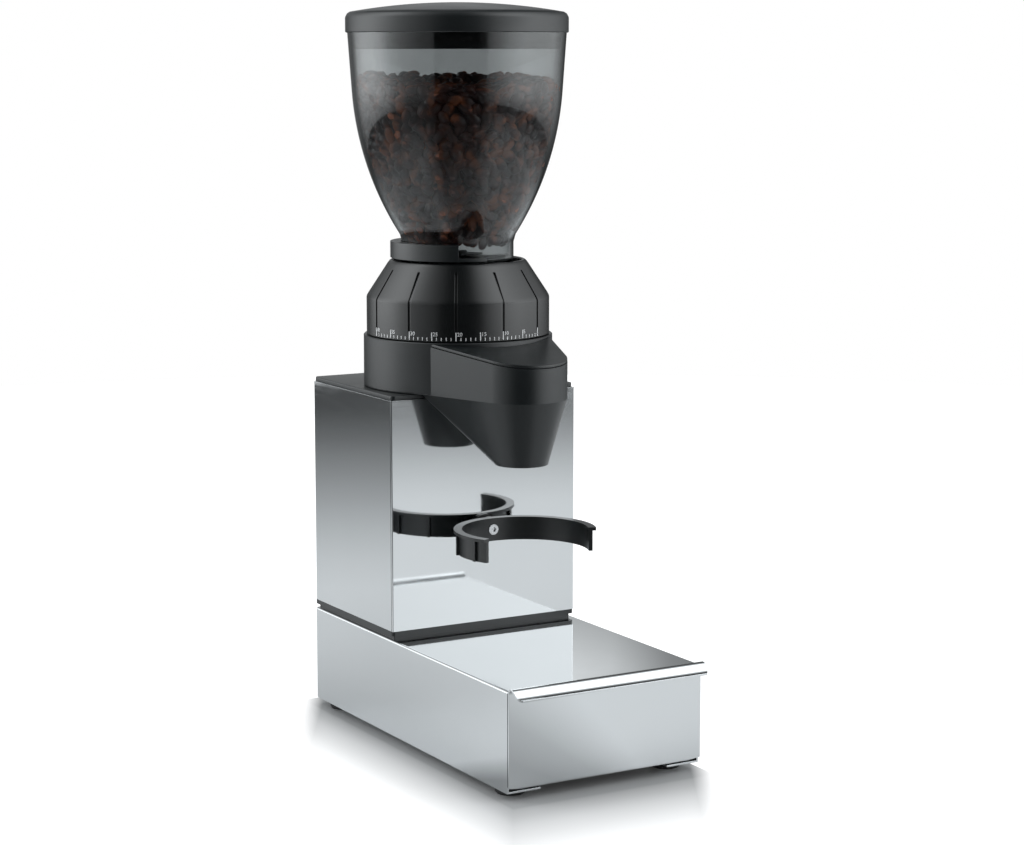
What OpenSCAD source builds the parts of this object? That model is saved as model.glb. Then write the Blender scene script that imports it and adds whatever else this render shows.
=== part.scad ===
// Burr coffee grinder with a knock-out drawer.
// A steel base casing holds a drawer, a steel tower stands on its back half, and a
// plastic head on the tower carries the conical burrs, the adjusting collar and the hopper.
// Units are millimetres. +Z is up, the front faces -Y, and the origin lies on the table
// under the middle of the whole footprint.

/* [Base casing] */
// Width of the base casing
base_w = 136; // [130:1:150]
// Height of the base casing
base_h = 62.5; // [60:0.5:72]
// Thickness of the folded steel sheet
sheet_t = 1.2; // [0.8:0.1:1.5]
// Width of the flanges folded in under the casing
flange_w = 23; // [20:1:28]
// Radius of the casing's back corners
corner_r = 3; // [1.5:0.5:5]
// Radius of the casing's folded top edges
bend_r = 1.6; // [1.5:0.1:3]
// Depth of the free deck in front of the tower
deck_d = 147.5; // [140:0.5:155]

/* [Feet] */
// Height of the rubber feet under the casing
foot_h = 5; // [4:0.5:8]
// Radius of a foot
foot_r = 9.5; // [8:0.5:10]
// Distance from the casing's side to the middle of a foot
foot_side = 12.5; // [11:0.5:13]
// Distance from the casing's front or back edge to the middle of a foot
foot_end = 18; // [14:1:30]

/* [Drawer] */
// Gap between the casing's front edge and the drawer's front
drawer_gap = 0.7; // [0.5:0.1:1.5]
// Height of the drawer front's lower edge above the casing's underside
front_lift = 2.6; // [2:0.2:5]
// Bend radius of the grip lip's top fold
lip_fold_r = 3.2; // [2.5:0.1:4]
// Length of the grip lip's straight slope
lip_slope_l = 4; // [3:0.5:6]
// Bend radius of the grip lip's outer edge
lip_edge_r = 5; // [3:0.5:7]
// Depth of the drawer's tray
tray_d = 225; // [200:1:235]
// Height of the tray's walls
tray_h = 50; // [42:1:51]
// Wall of the plastic tray
tray_wall = 2; // [1.5:0.1:3]
// Free space beside the tray
tray_play = 2; // [1:0.5:4]
// Radius of the knock bar's steel rod
knock_rod_r = 5; // [4:0.5:6]
// Outer radius of the knock bar's rubber sleeve
knock_sleeve_r = 10; // [8:0.5:12]
// Distance from the tray's front to the knock bar
knock_set = 78; // [60:1:100]

/* [Tower] */
// Width of the steel tower
tower_w = 135; // [130:1:140]
// Depth of the tower
tower_d = 113.5; // [112:0.5:120]
// Height of the tower's steel walls
tower_h = 148.8; // [146:0.2:170]
// Thickness of the dark plinth plate under the steel walls
plinth_t = 2.8; // [2:0.2:5]
// Height of the shadow gap between the casing and the plinth plate
shadow_h = 2.5; // [1.5:0.5:5]
// Thickness of the dark top plate
top_t = 3; // [2.5:0.5:5]

/* [Head] */
// Distance from the tower's front to the head's axis
head_set = 35; // [34:0.5:40]
// Outer radius of the round head housing
head_r = 61.5; // [61:0.5:65]
// Height of the head housing
head_h = 33.2; // [33:0.2:38]
// Wall of the head housing
head_wall = 2.5; // [2:0.1:3]
// Distance from the head's axis forward to the nozzle's axis
spout_reach = 82.5; // [78:0.5:88]
// Radius of the spout's round nose
nose_r = 28.6; // [26:0.2:32]
// Outer radius of the nozzle's mouth
nozzle_r = 16.7; // [15:0.1:20]
// Height of the nozzle's mouth above the deck
nozzle_h = 115.5; // [105:0.5:125]
// Height of the spout's upper edge over the head's floor, at the nozzle's axis
spout_edge_h = 25.6; // [23:0.2:26]
// Slope of the spout's lid in degrees
spout_tilt = 7.5; // [5:0.5:8]
// Thickness of the spout's lid
spout_lid_t = 2; // [1.5:0.1:3]

/* [Collar] */
// Outer radius of the adjusting collar's band
collar_r = 59.4; // [59:0.1:61]
// Height of the collar's straight band
collar_band_h = 25.5; // [22:0.5:30]
// Height of the collar's cone above the band
collar_cone_h = 22.5; // [20:0.5:26]
// Outer radius of the collar's top rim
collar_top_r = 44.2; // [44:0.1:46]
// Wall of the collar
collar_wall = 2.5; // [2:0.1:3]
// Number of grip grooves round the collar
groove_n = 12; // [6:1:24]
// Width of a grip groove
groove_w = 1.7; // [1:0.1:3]

/* [Hopper] */
// Outer radius of the hopper at its top
hopper_r = 70.4; // [68:0.1:76]
// Wall of the clear hopper
hopper_wall = 2.8; // [2:0.1:3.5]
// Angle of the hopper's upper wall in degrees
hopper_taper = 4; // [2:0.5:6]
// Height of the hopper's straight tapered upper wall
hopper_taper_h = 38; // [20:1:60]
// Radius of the curve that draws the hopper's wall in
hopper_arc_r = 197; // [180:1:230]
// Outer radius of the hopper's neck
neck_r = 36.2; // [35.5:0.1:36.5]
// Height of the hopper's straight neck
neck_h = 28; // [27:0.5:32]

/* [Lid] */
// How far the lid's rim stands out past the hopper's wall
lid_over = 1.2; // [0.8:0.1:6]
// Height of the lid's rim
lid_rim_h = 12; // [8:0.5:16]
// Height of the lid's shallow dome
lid_dome_h = 6; // [3:0.5:10]

/* [Portafilter fork] */
// Distance from the tower's front to the middle of the fork's ring
fork_reach = 51.8; // [50:0.2:56]
// Outer radius of the fork's ring
fork_r = 45; // [43:0.5:47]
// Height of the fork's screw above the deck
fork_screw_h = 67.5; // [60:0.5:75]
// Height of the fork's band
fork_h = 15; // [13:0.5:18]
// Wall of the fork's band
fork_wall = 2.4; // [2:0.1:3]
// Angle that the fork's ring covers in degrees
fork_arc = 232; // [200:2:250]
// Travel of the fork when a portafilter presses it
fork_travel = 3; // [2:0.5:3]

/* [Drive] */
// Module of the motor stage's teeth
gear_m1 = 1; // [0.9:0.05:1]
// Teeth of the motor pinion
pinion_n = 12; // [12:1:14]
// Teeth of the idler's large gear
idler_big_n = 48; // [44:1:50]
// Module of the burr stage's teeth
gear_m2 = 1.25; // [1.2:0.05:1.25]
// Teeth of the idler's small gear
idler_small_n = 14; // [13:1:15]
// Teeth of the gear on the burr shaft
burr_gear_n = 50; // [46:1:50]
// Pressure angle of all the teeth in degrees
gear_press = 25; // [23:1:26]
// Radius of the burr shaft
shaft_r = 5; // [4:0.5:6]
// Radius of the motor's can
motor_r = 26; // [24:0.5:28]
// Length of the motor's can
motor_l = 74; // [60:1:76]

/* [Hidden] */

$fn = 96;
eps = 0.01;      // overlap that joins shapes of one solid
cut = 1;         // how far a cutting shape runs past the face that it opens
run = 0.05;      // radial clearance of a shaft in its bore
slip = 0.3;      // clearance between pieces that slide or turn past each other

steel = [0.78, 0.79, 0.80];
dark = [0.20, 0.22, 0.22];
black = [0.07, 0.07, 0.08];
brass = [0.72, 0.58, 0.30];
clear = [0.75, 0.78, 0.80, 0.35];

// Places along Y, from the drawer's lip to the cord gland
lip_u = lip_fold_r * (1 + cos(45)) + lip_slope_l * cos(45) + lip_edge_r * sin(45);
lip_reach = drawer_gap + sheet_t / 2 + lip_u;
gland_l = 13;
base_d = deck_d + tower_d;
front_y = (lip_reach - base_d - gland_l) / 2;
back_y = front_y + base_d;
tower_y = front_y + deck_d;
tower_back_y = tower_y + tower_d;
head_y = tower_y + head_set;
spout_y = head_y - spout_reach;
fork_y = tower_y - fork_reach;

// Heights, from the table up
z_base = foot_h;
z_deck = z_base + base_h;
z_plate = z_deck + shadow_h;
z_steel = z_plate + plinth_t;
z_top = z_steel + tower_h;
z_head = z_top + top_t;
z_collar = z_head + head_h + slip;
z_cone = z_collar + collar_band_h;
z_rim = z_cone + collar_cone_h;
z_fork = z_deck + fork_screw_h;
z_nozzle = z_deck + nozzle_h;

// Drawer
front_w = base_w;
panel_y = front_y - drawer_gap - sheet_t;
lip_z = z_deck - 1.5;
tray_w = base_w - 2 * sheet_t - 2 * tray_play;
tray_z = z_base + sheet_t + slip;
knock_y = front_y + knock_set;
knock_z = tray_z + tray_h - knock_sleeve_r - 1;
rivet_r = 2;
stud_r = 2;

// Tower
plinth_inset = 2.5;
rim_wall = 2;
rim_h = 8;
panel_gap = 0.6;
panel_flange = 9;
wrap_y = tower_y + sheet_t + panel_gap;
plinth_screw_x = tower_w / 2 - 16;
plinth_screw_end = 14;
m4_r = 2;
head_screw_r = 1.6;
head_screw_dirs = [-5, 55, 125, 185];
head_bolt_r = 50;    // circle of the head's screws
gland_z = z_steel + 22;
gland_x = -tower_w / 2 + 26;
gland_r = 6;
board_z = z_steel + 12;
board_x = -tower_w / 2 + sheet_t + 6;
board_t = 1.6;
board_y0 = tower_y + 20;
board_l = 78;
board_h = 70;

// Gear train: the frame hangs under the top plate
frame_t = 6;
frame_post_r = 4.5;
frame_drop = 36;
frame_edge = 8;      // how far the plate runs past the middle of its posts
frame_window_r = 9;
z_frame = z_top - frame_drop;
frame_x = tower_w / 2 - 14;
frame_y0 = tower_y + 22;
frame_y1 = tower_back_y - 13;
c1 = gear_m1 * (pinion_n + idler_big_n) / 2;
c2 = gear_m2 * (idler_small_n + burr_gear_n) / 2;
idler_ang = 45.6;
idler_x = c2 * cos(idler_ang);
idler_y = head_y + c2 * sin(idler_ang);
motor_ang = 180 - acos(idler_x / c1);
motor_y = idler_y + c1 * sin(motor_ang);
burr_gear_z = z_frame + frame_t + 2;
burr_gear_t = 11;
idler_big_z = burr_gear_z + burr_gear_t + 2.5;
idler_big_t = 6;
idler_pin_r = 3;
rotor_shaft_r = 2.5;
motor_wall = 2;
motor_bolt_r = 17;   // circle of the motor's screws
motor_bolt_dirs = [30, 150, 270];
motor_screw_r = 1.5;
motor_z = z_frame - motor_l;
bearing_r = 13;
bearing_lip = 11;

// Flat flanks of the spout: from the round head forward to the round nose
flank = [head_r * sin(45), head_y - head_r * cos(45)];
flank_l = norm([flank[0], flank[1] - spout_y]);
flank_dir = atan2(spout_y - flank[1], -flank[0]) + asin(nose_r / flank_l);
flank_v = [cos(flank_dir), sin(flank_dir)];
flank_end = flank + sqrt(flank_l * flank_l - nose_r * nose_r) * flank_v;
flank_start = flank - 8 * flank_v;   // lies inside the round head

// Rocker switch
rocker_l = 8.3;      // half the rocker's length
rocker_w = 8.8;
rocker_room = 1.1;   // free length at each end of the rocker
rocker_wall = 1.1;
rocker_tilt = 14;    // how far the rocker stands out of level in its off position
rocker_pin_y = 1;

// Burr set
chamber_r = 41.5;
chamber_wall = 3;
boss_h = 10;
z_impeller = z_head + boss_h + 1;
impeller_t = 2.5;
z_cone_burr = z_impeller + 8;
cone_burr_h = 24.5;
cone_burr_r = 23;
cone_burr_top_r = 10;
z_carrier = z_head + 22.5;
ring_burr_r = 34;
ring_burr_h = 14.5;
ring_burr_low_r = 22;
ring_burr_high_r = 27;
hub_r = chamber_r;
hub_wall = 2.2;
z_hub = z_carrier + 17;
carrier_r = chamber_r - slip;
z_seat = z_rim - 12;
z_carrier_top = z_rim - 6;
throat_r = 30;
key_w = 6;
key_depth = 1.3;

// Hopper
z_neck = z_seat + slip;
z_flare = z_neck + neck_h;
flare_r = neck_r + 1.4;
taper_low_r = hopper_r - hopper_taper_h * tan(hopper_taper);
arc_end = acos(cos(hopper_taper) - (taper_low_r - flare_r) / hopper_arc_r);
arc_h = hopper_arc_r * (sin(arc_end) - sin(hopper_taper));
z_hopper_top = z_flare + arc_h + hopper_taper_h;
lid_r = hopper_r + lid_over;
lid_play = 0.9;      // clearance of the lid's skirt in the hopper's mouth
lid_z = z_hopper_top + 0.2;
skirt_r = hopper_r - hopper_wall - lid_play;
skirt_wall = 2.4;
skirt_h = 11;
floor_z = z_rim - 0.5;
grate_r = neck_r - hopper_wall - run;
floor_t = 2;
blade_n = 3;
blade_ang = 360 / blade_n / 2;
blade_t = 1.6;
slot_h = 4;
band_r = neck_r + 7.6;
band_gap = 0.6;
band_z = z_rim + 1.4;
band_h = 10.5;
arm_dir = 168;
arm_ang = 12;

// Fork and switch
fork_top_t = 2;
fork_lip = 2.2;
plunger_r = 4;
guide_r = 6;
stop_r = 9;
stop_t = 2.5;
bracket_y = tower_y + sheet_t + 31;
bracket_t = 1.5;
lever_arm = 16;
lever_t = 1;
lever_y = bracket_y - 14.2;
stop_y = lever_y - lever_t / 2 - 0.15 - stop_t;
guide_l = stop_y - tower_y - run;

// ---------- shared shapes ----------

// Flat ring standing on z = 0
module ring(outer, inner, h) {
  difference() {
    cylinder(r = outer, h = h);
    translate([0, 0, -cut]) cylinder(r = inner, h = h + 2 * cut);
  }
}

// Plate with four round corners, centred in X, from y = 0 back to d
module round_plate(w, d, h, r) {
  translate([-w / 2 + r, 0, 0]) cube([w - 2 * r, d, h]);
  translate([-w / 2, r, 0]) cube([w, d - 2 * r, h]);
  for (x = [-w / 2 + r, w / 2 - r], y = [r, d - r])
    translate([x, y, 0]) cylinder(r = r, h = h);
}

// Plate with round back corners and square front ones
module back_round_plate(w, d, h, r) {
  translate([-w / 2, 0, 0]) cube([w, d - r, h]);
  translate([-w / 2 + r, 0, 0]) cube([w - 2 * r, d, h]);
  for (x = [-w / 2 + r, w / 2 - r])
    translate([x, d - r, 0]) cylinder(r = r, h = h);
}

// Screw pointing up from z = 0, with its head below
module screw(r, l, head_r, head_h) {
  translate([0, 0, -head_h]) difference() {
    cylinder(r = head_r, h = head_h);
    translate([0, 0, -cut]) cylinder(r = head_r / 2, h = cut + head_h / 2, $fn = 6);
  }
  translate([0, 0, -eps]) cylinder(r = r, h = l + eps);
}

// Points on a circle's arc, from angle a to angle b
function arc(c, r, a, b, n) =
  [for (i = [0:n]) c + r * [cos(a + (b - a) * i / n), sin(a + (b - a) * i / n)]];

// Sector of a flat ring, from angle a over the angle span
module ring_sector(outer, inner, h, a, span) {
  rotate([0, 0, a]) rotate_extrude(angle = span)
    translate([inner, 0]) square([outer - inner, h]);
}

// Involute of a circle at a pressure angle, in degrees
function inv(a) = tan(a) * 180 / PI - a;

// Outline of a spur gear with one tooth centred on +X, thinned by the backlash
module gear_outline(m, n, backlash = 0.16) {
  rp = m * n / 2;
  rb = rp * cos(gear_press);
  ra = rp + 0.95 * m;
  rf = rp - 1.2 * m;
  half = 90 / n - backlash / 2 / rp * 180 / PI + inv(gear_press);
  r0 = max(rb, rf);
  rs = [for (i = [0:4]) r0 + (ra - r0) * i / 4];
  flank = [for (r = rs) [r, half - inv(acos(min(1, rb / r)))]];
  side = concat([[rf, half - inv(acos(min(1, rb / r0)))]], flank);
  polygon([for (t = [0:n - 1], s = [-1, 1], i = [0:5])
    let (p = side[s < 0 ? i : 5 - i], a = t * 360 / n + s * p[1]) p[0] * [cos(a), sin(a)]]);
}

// Spur gear with one tooth pointing along the direction dir
module gear(m, n, h, dir) {
  rotate([0, 0, dir]) linear_extrude(h) gear_outline(m, n);
}

// ---------- base and drawer ----------

module base_block(inset) {
  w = base_w - 2 * inset;
  d = base_d - inset;
  h = base_h - 2 * inset;
  b = max(bend_r - inset, 0.3);
  translate([0, front_y, z_base + inset]) intersection() {
    back_round_plate(w, d, h, max(corner_r - inset, 0.5));
    rotate([-90, 0, 0]) translate([0, -h, 0]) linear_extrude(d) {
      translate([-w / 2 + b, 0]) square([w - 2 * b, h]);
      translate([-w / 2, b]) square([w, h - b]);
      for (x = [-w / 2 + b, w / 2 - b]) translate([x, b]) circle(r = b, $fn = 48);
    }
  }
}

module foot_places() {
  for (x = [-base_w / 2 + foot_side, base_w / 2 - foot_side])
    for (y = [front_y + foot_end, back_y - foot_end])
      translate([x, y, 0]) children();
}

module plinth_screw_places(z) {
  for (x = [-plinth_screw_x, plinth_screw_x])
    for (y = [tower_y + plinth_screw_end, tower_back_y - plinth_screw_end])
      translate([x, y, z]) children();
}

module base_casing() {
  color(steel) difference() {
    base_block(0);
    base_block(sheet_t);
    // open front
    translate([-base_w / 2 + sheet_t, front_y - cut, z_base + sheet_t])
      cube([base_w - 2 * sheet_t, 2 * cut, base_h - 2 * sheet_t]);
    // open floor between the folded flanges
    translate([-base_w / 2 + flange_w, front_y - cut, z_base - cut])
      cube([base_w - 2 * flange_w, base_d - flange_w + cut, sheet_t + 2 * cut]);
    foot_places() cylinder(r = rivet_r + run, h = z_base + sheet_t + cut);
    plinth_screw_places(z_deck - 2 * sheet_t) cylinder(r = m4_r + run, h = 4 * sheet_t);
  }
}

module rubber_feet() {
  color(black) foot_places() difference() {
    union() {
      cylinder(r1 = foot_r - 1, r2 = foot_r, h = 1.2);
      translate([0, 0, 1.2]) cylinder(r = foot_r, h = foot_h - 1.2);
    }
    translate([0, 0, -cut]) cylinder(r = 4, h = 2 + cut);
    cylinder(r = rivet_r + run, h = foot_h + cut);
  }
}

module foot_rivets() {
  color(steel) foot_places() {
    translate([0, 0, 0.7]) cylinder(r = 3.6, h = 1.3);
    translate([0, 0, 1]) cylinder(r = rivet_r, h = z_base + sheet_t - 1);
  }
}

// Grip lip in (forward, up) coordinates: up, over, down the slope and out again
module lip_profile() {
  t = sheet_t / 2;
  c1p = [lip_fold_r, 0];
  p1 = c1p + lip_fold_r * [cos(45), sin(45)];
  p2 = p1 + lip_slope_l * [cos(45), -sin(45)];
  c2p = p2 + lip_edge_r * [cos(45), sin(45)];
  polygon(concat(
    [[-t, -eps]],
    arc(c1p, lip_fold_r + t, 180, 45, 12),
    arc(c2p, lip_edge_r - t, 225, 270, 8),
    arc(c2p, lip_edge_r + t, 270, 225, 8),
    arc(c1p, lip_fold_r - t, 45, 180, 12),
    [[t, -eps]]));
}

module stud_places() {
  for (x = [-tray_w / 4, tray_w / 4], z = [0.35, 0.75])
    translate([x, panel_y + sheet_t - eps, tray_z + z * tray_h]) rotate([-90, 0, 0]) children();
}

module drawer_front() {
  color(steel) {
    translate([-front_w / 2, panel_y, z_base + front_lift])
      cube([front_w, sheet_t, lip_z - z_base - front_lift]);
    // foot folded back under the tray
    translate([-tray_w / 2 + 6, panel_y, z_base + front_lift])
      cube([tray_w - 12, sheet_t + 3, sheet_t]);
    translate([-front_w / 2, panel_y + sheet_t / 2, lip_z]) rotate([90, 0, -90]) mirror([0, 0, 1])
      linear_extrude(front_w) lip_profile();
    // welded studs that hold the tray
    stud_places() cylinder(r = stud_r, h = tray_wall + 3.5);
  }
}

module drawer_nuts() {
  color(steel) stud_places() translate([0, 0, tray_wall + eps]) difference() {
    cylinder(r = 3.8, h = 3, $fn = 6);
    translate([0, 0, -cut]) cylinder(r = stud_r + run, h = 5);
  }
}

module drawer_tray() {
  y0 = front_y - drawer_gap;
  color(black) difference() {
    union() {
      translate([0, y0, tray_z]) round_plate(tray_w, tray_d, tray_h, 2);
      // stiff rim round the tray's mouth
      translate([0, y0, tray_z + tray_h - 3]) round_plate(tray_w + 2, tray_d, 3, 2);
    }
    translate([0, y0 + tray_wall, tray_z + tray_wall])
      round_plate(tray_w - 2 * tray_wall, tray_d - 2 * tray_wall, tray_h, 6);
    for (x = [-1, 1]) translate([x * tray_w / 2, knock_y, knock_z])
      rotate([0, 90, 0]) cylinder(r = knock_rod_r + run, h = 6 * tray_wall, center = true);
    stud_places() cylinder(r = stud_r + run, h = tray_wall + cut);
    // room for the folded foot of the drawer's front
    translate([-tray_w / 2 - cut, y0 - cut, tray_z - cut])
      cube([tray_w + 2 * cut, 3.4 + cut, z_base + front_lift + sheet_t + slip - tray_z + cut]);
  }
}

module knock_bar() {
  color(steel) translate([-tray_w / 2 - 0.6, knock_y, knock_z]) rotate([0, 90, 0]) {
    cylinder(r = knock_rod_r, h = tray_w + 1.2);
  }
}

module knock_bar_sleeve() {
  l = tray_w - 2 * tray_wall - 1;
  color(black) translate([-l / 2, knock_y, knock_z]) rotate([0, 90, 0]) difference() {
    union() {
      cylinder(r = knock_sleeve_r, h = l);
      for (x = [0.12, 0.88]) translate([0, 0, x * l - 2]) cylinder(r = knock_sleeve_r + 1, h = 4);
    }
    translate([0, 0, -cut]) cylinder(r = knock_rod_r + run, h = l + 2 * cut);
  }
}

// ---------- tower ----------

module tower_plinth() {
  inner_w = tower_w - 2 * sheet_t - 2 * run - 2 * rim_wall;
  inner_d = tower_d - 2 * sheet_t - panel_gap - 2 * run - 2 * rim_wall;
  color(dark) difference() {
    union() {
      translate([0, tower_y + plinth_inset, z_deck])
        round_plate(tower_w - 2 * plinth_inset, tower_d - 2 * plinth_inset, shadow_h + eps, 2);
      translate([0, tower_y, z_plate]) round_plate(tower_w, tower_d, plinth_t, 2);
      translate([0, wrap_y + run, z_steel - eps])
        round_plate(inner_w + 2 * rim_wall, inner_d + 2 * rim_wall, rim_h, 2);
    }
    // well inside the rim, with a floor that closes the tower's foot
    translate([0, wrap_y + run + rim_wall, z_plate + 1])
      round_plate(inner_w, inner_d, rim_h + plinth_t + cut, 2);
    // gaps where the front panel's folded flanges pass
    for (x = [-1, 1]) translate([x * (tower_w / 2 - sheet_t) - 4, wrap_y - cut, z_steel])
      cube([8, panel_flange + 2, rim_h + cut]);
    plinth_screw_places(z_deck - cut) cylinder(r = m4_r, h = shadow_h + plinth_t + 4 * cut);
  }
  color(dark) difference() {
    plinth_screw_places(z_plate + 1 - eps) cylinder(r = 5, h = 9);
    plinth_screw_places(z_deck - cut) cylinder(r = m4_r, h = 30);
  }
}

module plinth_screws() {
  color(steel) plinth_screw_places(z_deck - sheet_t) screw(m4_r, sheet_t + 11, 4, 2.4);
}

module tower_wrap() {
  color(steel) difference() {
    translate([0, wrap_y, z_steel]) back_round_plate(tower_w, tower_back_y - wrap_y, tower_h, 2.5);
    translate([0, wrap_y - cut, z_steel - cut])
      back_round_plate(tower_w - 2 * sheet_t, tower_back_y - wrap_y - sheet_t + cut,
        tower_h + 2 * cut, 1.3);
    translate([gland_x, tower_back_y - 3, gland_z]) rotate([-90, 0, 0]) cylinder(r = gland_r + run, h = 6);
    // air slots behind the motor
    for (i = [0:7]) translate([-22, tower_back_y - 3, z_steel + 60 + 7 * i]) cube([44, 6, 3]);
  }
}

module tower_front_panel() {
  color(steel) difference() {
    union() {
      translate([-tower_w / 2, tower_y, z_steel]) cube([tower_w, sheet_t, tower_h]);
      for (x = [-1, 1]) translate([x * (tower_w / 2 - 1.5 * sheet_t - run) - sheet_t / 2, tower_y, z_steel])
        cube([sheet_t, panel_flange, tower_h]);
    }
    translate([0, tower_y - cut, z_fork]) rotate([-90, 0, 0])
      cylinder(r = guide_r + run, h = 2 * cut + sheet_t);
  }
}

module head_screw_places(z) {
  for (a = head_screw_dirs)
    translate([head_bolt_r * cos(a), head_y + head_bolt_r * sin(a), z]) children();
}

module frame_post_places(z) {
  for (x = [-frame_x, frame_x], y = [frame_y0, frame_y1]) translate([x, y, z]) children();
}

module tower_top_plate() {
  in = sheet_t + run;
  color(dark) difference() {
    union() {
      translate([0, tower_y + 0.6, z_top]) round_plate(tower_w - 1.2, tower_d - 1.2, top_t, 3);
      // rim that drops inside the steel walls
      translate([0, wrap_y + panel_flange + 1, z_top - 4]) difference() {
        round_plate(tower_w - 2 * in, tower_back_y - in - wrap_y - panel_flange - 1, 4 + eps, 1.2);
        translate([0, -cut, -cut])
          round_plate(tower_w - 2 * in - 4, tower_back_y - in - wrap_y - panel_flange - 3 + cut, 6, 1.2);
      }
    }
    translate([0, head_y, z_top - cut]) cylinder(r = bearing_lip, h = top_t + 2 * cut);
    head_screw_places(z_top - cut) cylinder(r = head_screw_r + run, h = top_t + 2 * cut);
    frame_post_places(z_top - cut) cylinder(r = m4_r + run, h = cut + 2);
    translate([idler_x, idler_y, z_top - cut]) cylinder(r = idler_pin_r + run, h = cut + 2);
  }
}

module cord_gland() {
  color(black) translate([gland_x, tower_back_y, gland_z]) rotate([-90, 0, 0]) difference() {
    union() {
      translate([0, 0, -6]) cylinder(r = gland_r, h = 7);
      cylinder(r = gland_r + 2.5, h = 2);
      translate([0, 0, 1]) cylinder(r1 = gland_r, r2 = gland_r - 1.6, h = gland_l - 1);
      translate([0, 0, -sheet_t - 2.2]) ring(gland_r + 2, gland_r - 1, 2.2);
    }
    translate([0, 0, -8]) cylinder(r = 3.2, h = gland_l + 10);
    for (z = [4, 7, 10]) translate([0, 0, z]) ring(gland_r + 2, gland_r - 1.4 - 0.1 * z, 1.2);
  }
}

// ---------- drive ----------

module gear_frame() {
  color(steel) difference() {
    union() {
      translate([0, frame_y0 - frame_edge, z_frame])
        round_plate(2 * (frame_x + frame_edge), frame_y1 - frame_y0 + 2 * frame_edge, frame_t, 4);
      frame_post_places(z_frame + frame_t - eps) cylinder(r = frame_post_r, h = frame_drop - frame_t + eps);
    }
    // seat of the lower bearing, open at the bottom through a smaller hole
    translate([0, head_y, z_frame + 1]) cylinder(r = bearing_r + run / 2, h = frame_t);
    translate([0, head_y, z_frame - cut]) cylinder(r = shaft_r + 3, h = frame_t);
    translate([idler_x, idler_y, z_frame - cut]) cylinder(r = idler_pin_r + run / 2, h = frame_t + 2 * cut);
    translate([0, motor_y, z_frame - cut]) cylinder(r = 6, h = frame_t + 2 * cut);
    motor_screw_places(z_frame - cut) cylinder(r = motor_screw_r + run, h = frame_t + 2 * cut);
    // weight-saving windows in the plate's corners
    for (at = [[-38, frame_y0 + 2], [38, frame_y0 + 2], [-42, frame_y1 - 18]])
      translate([at[0], at[1], z_frame - cut]) cylinder(r = frame_window_r, h = frame_t + 2 * cut);
    frame_post_places(z_frame - cut) cylinder(r = m4_r + run, h = frame_drop + 2 * cut);
  }
}

module frame_screws() {
  color(steel) frame_post_places(z_frame) screw(m4_r, frame_drop + 1.8, 4, 2.4);
}

module motor_screw_places(z) {
  for (a = motor_bolt_dirs)
    translate([motor_bolt_r * cos(a), motor_y + motor_bolt_r * sin(a), z]) children();
}

// Ball bearing drawn as one ring with the groove between its races
module bearing(h) {
  difference() {
    ring(bearing_r, shaft_r + run, h);
    for (z = [-cut, h - 0.6]) translate([0, 0, z]) ring(bearing_r - 2, shaft_r + 2.2, 0.6 + cut);
  }
}

module lower_bearing() {
  color(steel) translate([0, head_y, z_frame + 1]) bearing(frame_t - 1);
}

module upper_bearing() {
  color(steel) translate([0, head_y, z_head]) bearing(boss_h - 2);
}

module burr_shaft() {
  top = z_cone_burr + cone_burr_h + 7;
  color(steel) translate([0, head_y, z_frame - 3]) {
    cylinder(r = shaft_r, h = top - z_frame + 3 - 8);
    translate([0, 0, top - z_frame + 3 - 8 - eps]) cylinder(r = shaft_r - 1, h = 8);
    // shoulder that keeps the shaft from rising
    translate([0, 0, burr_gear_z + burr_gear_t - z_frame + 3]) cylinder(r = shaft_r + 2, h = 1.5);
  }
}

module burr_gear() {
  color(brass) translate([0, head_y, burr_gear_z]) difference() {
    gear(gear_m2, burr_gear_n, burr_gear_t, idler_ang);
    // web, thinned from both sides and pierced by six holes
    translate([0, 0, burr_gear_t - 3]) ring(26, 12, 3 + cut);
    translate([0, 0, -cut]) ring(26, 12, 3 + cut);
    for (a = [0:60:300]) rotate([0, 0, a])
      translate([19, 0, -cut]) cylinder(r = 4.5, h = burr_gear_t + 2 * cut);
    translate([0, 0, -cut]) cylinder(r = shaft_r + run / 2, h = burr_gear_t + 2 * cut);
  }
}

module idler_gear() {
  color(brass) translate([idler_x, idler_y, 0]) difference() {
    union() {
      translate([0, 0, burr_gear_z - 0.5])
        gear(gear_m2, idler_small_n, burr_gear_t + 1, idler_ang + 180 + 180 / idler_small_n);
      translate([0, 0, burr_gear_z + burr_gear_t + 0.5 - eps])
        cylinder(r = 9, h = idler_big_z - burr_gear_z - burr_gear_t - 0.5 + 2 * eps);
      translate([0, 0, idler_big_z]) gear(gear_m1, idler_big_n, idler_big_t, motor_ang);
    }
    translate([0, 0, burr_gear_z - cut]) cylinder(r = idler_pin_r + run, h = 40);
    for (a = [0:60:300]) rotate([0, 0, a])
      translate([15.5, 0, idler_big_z - 0.2]) cylinder(r = 3.5, h = idler_big_t + cut);
  }
}

module idler_pin() {
  color(steel) translate([idler_x, idler_y, 0]) {
    translate([0, 0, z_frame]) cylinder(r = idler_pin_r, h = z_top - z_frame + 1.8);
    translate([0, 0, z_frame + frame_t])
      cylinder(r = idler_pin_r + 2, h = burr_gear_z - 0.6 - z_frame - frame_t);
  }
}

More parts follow.
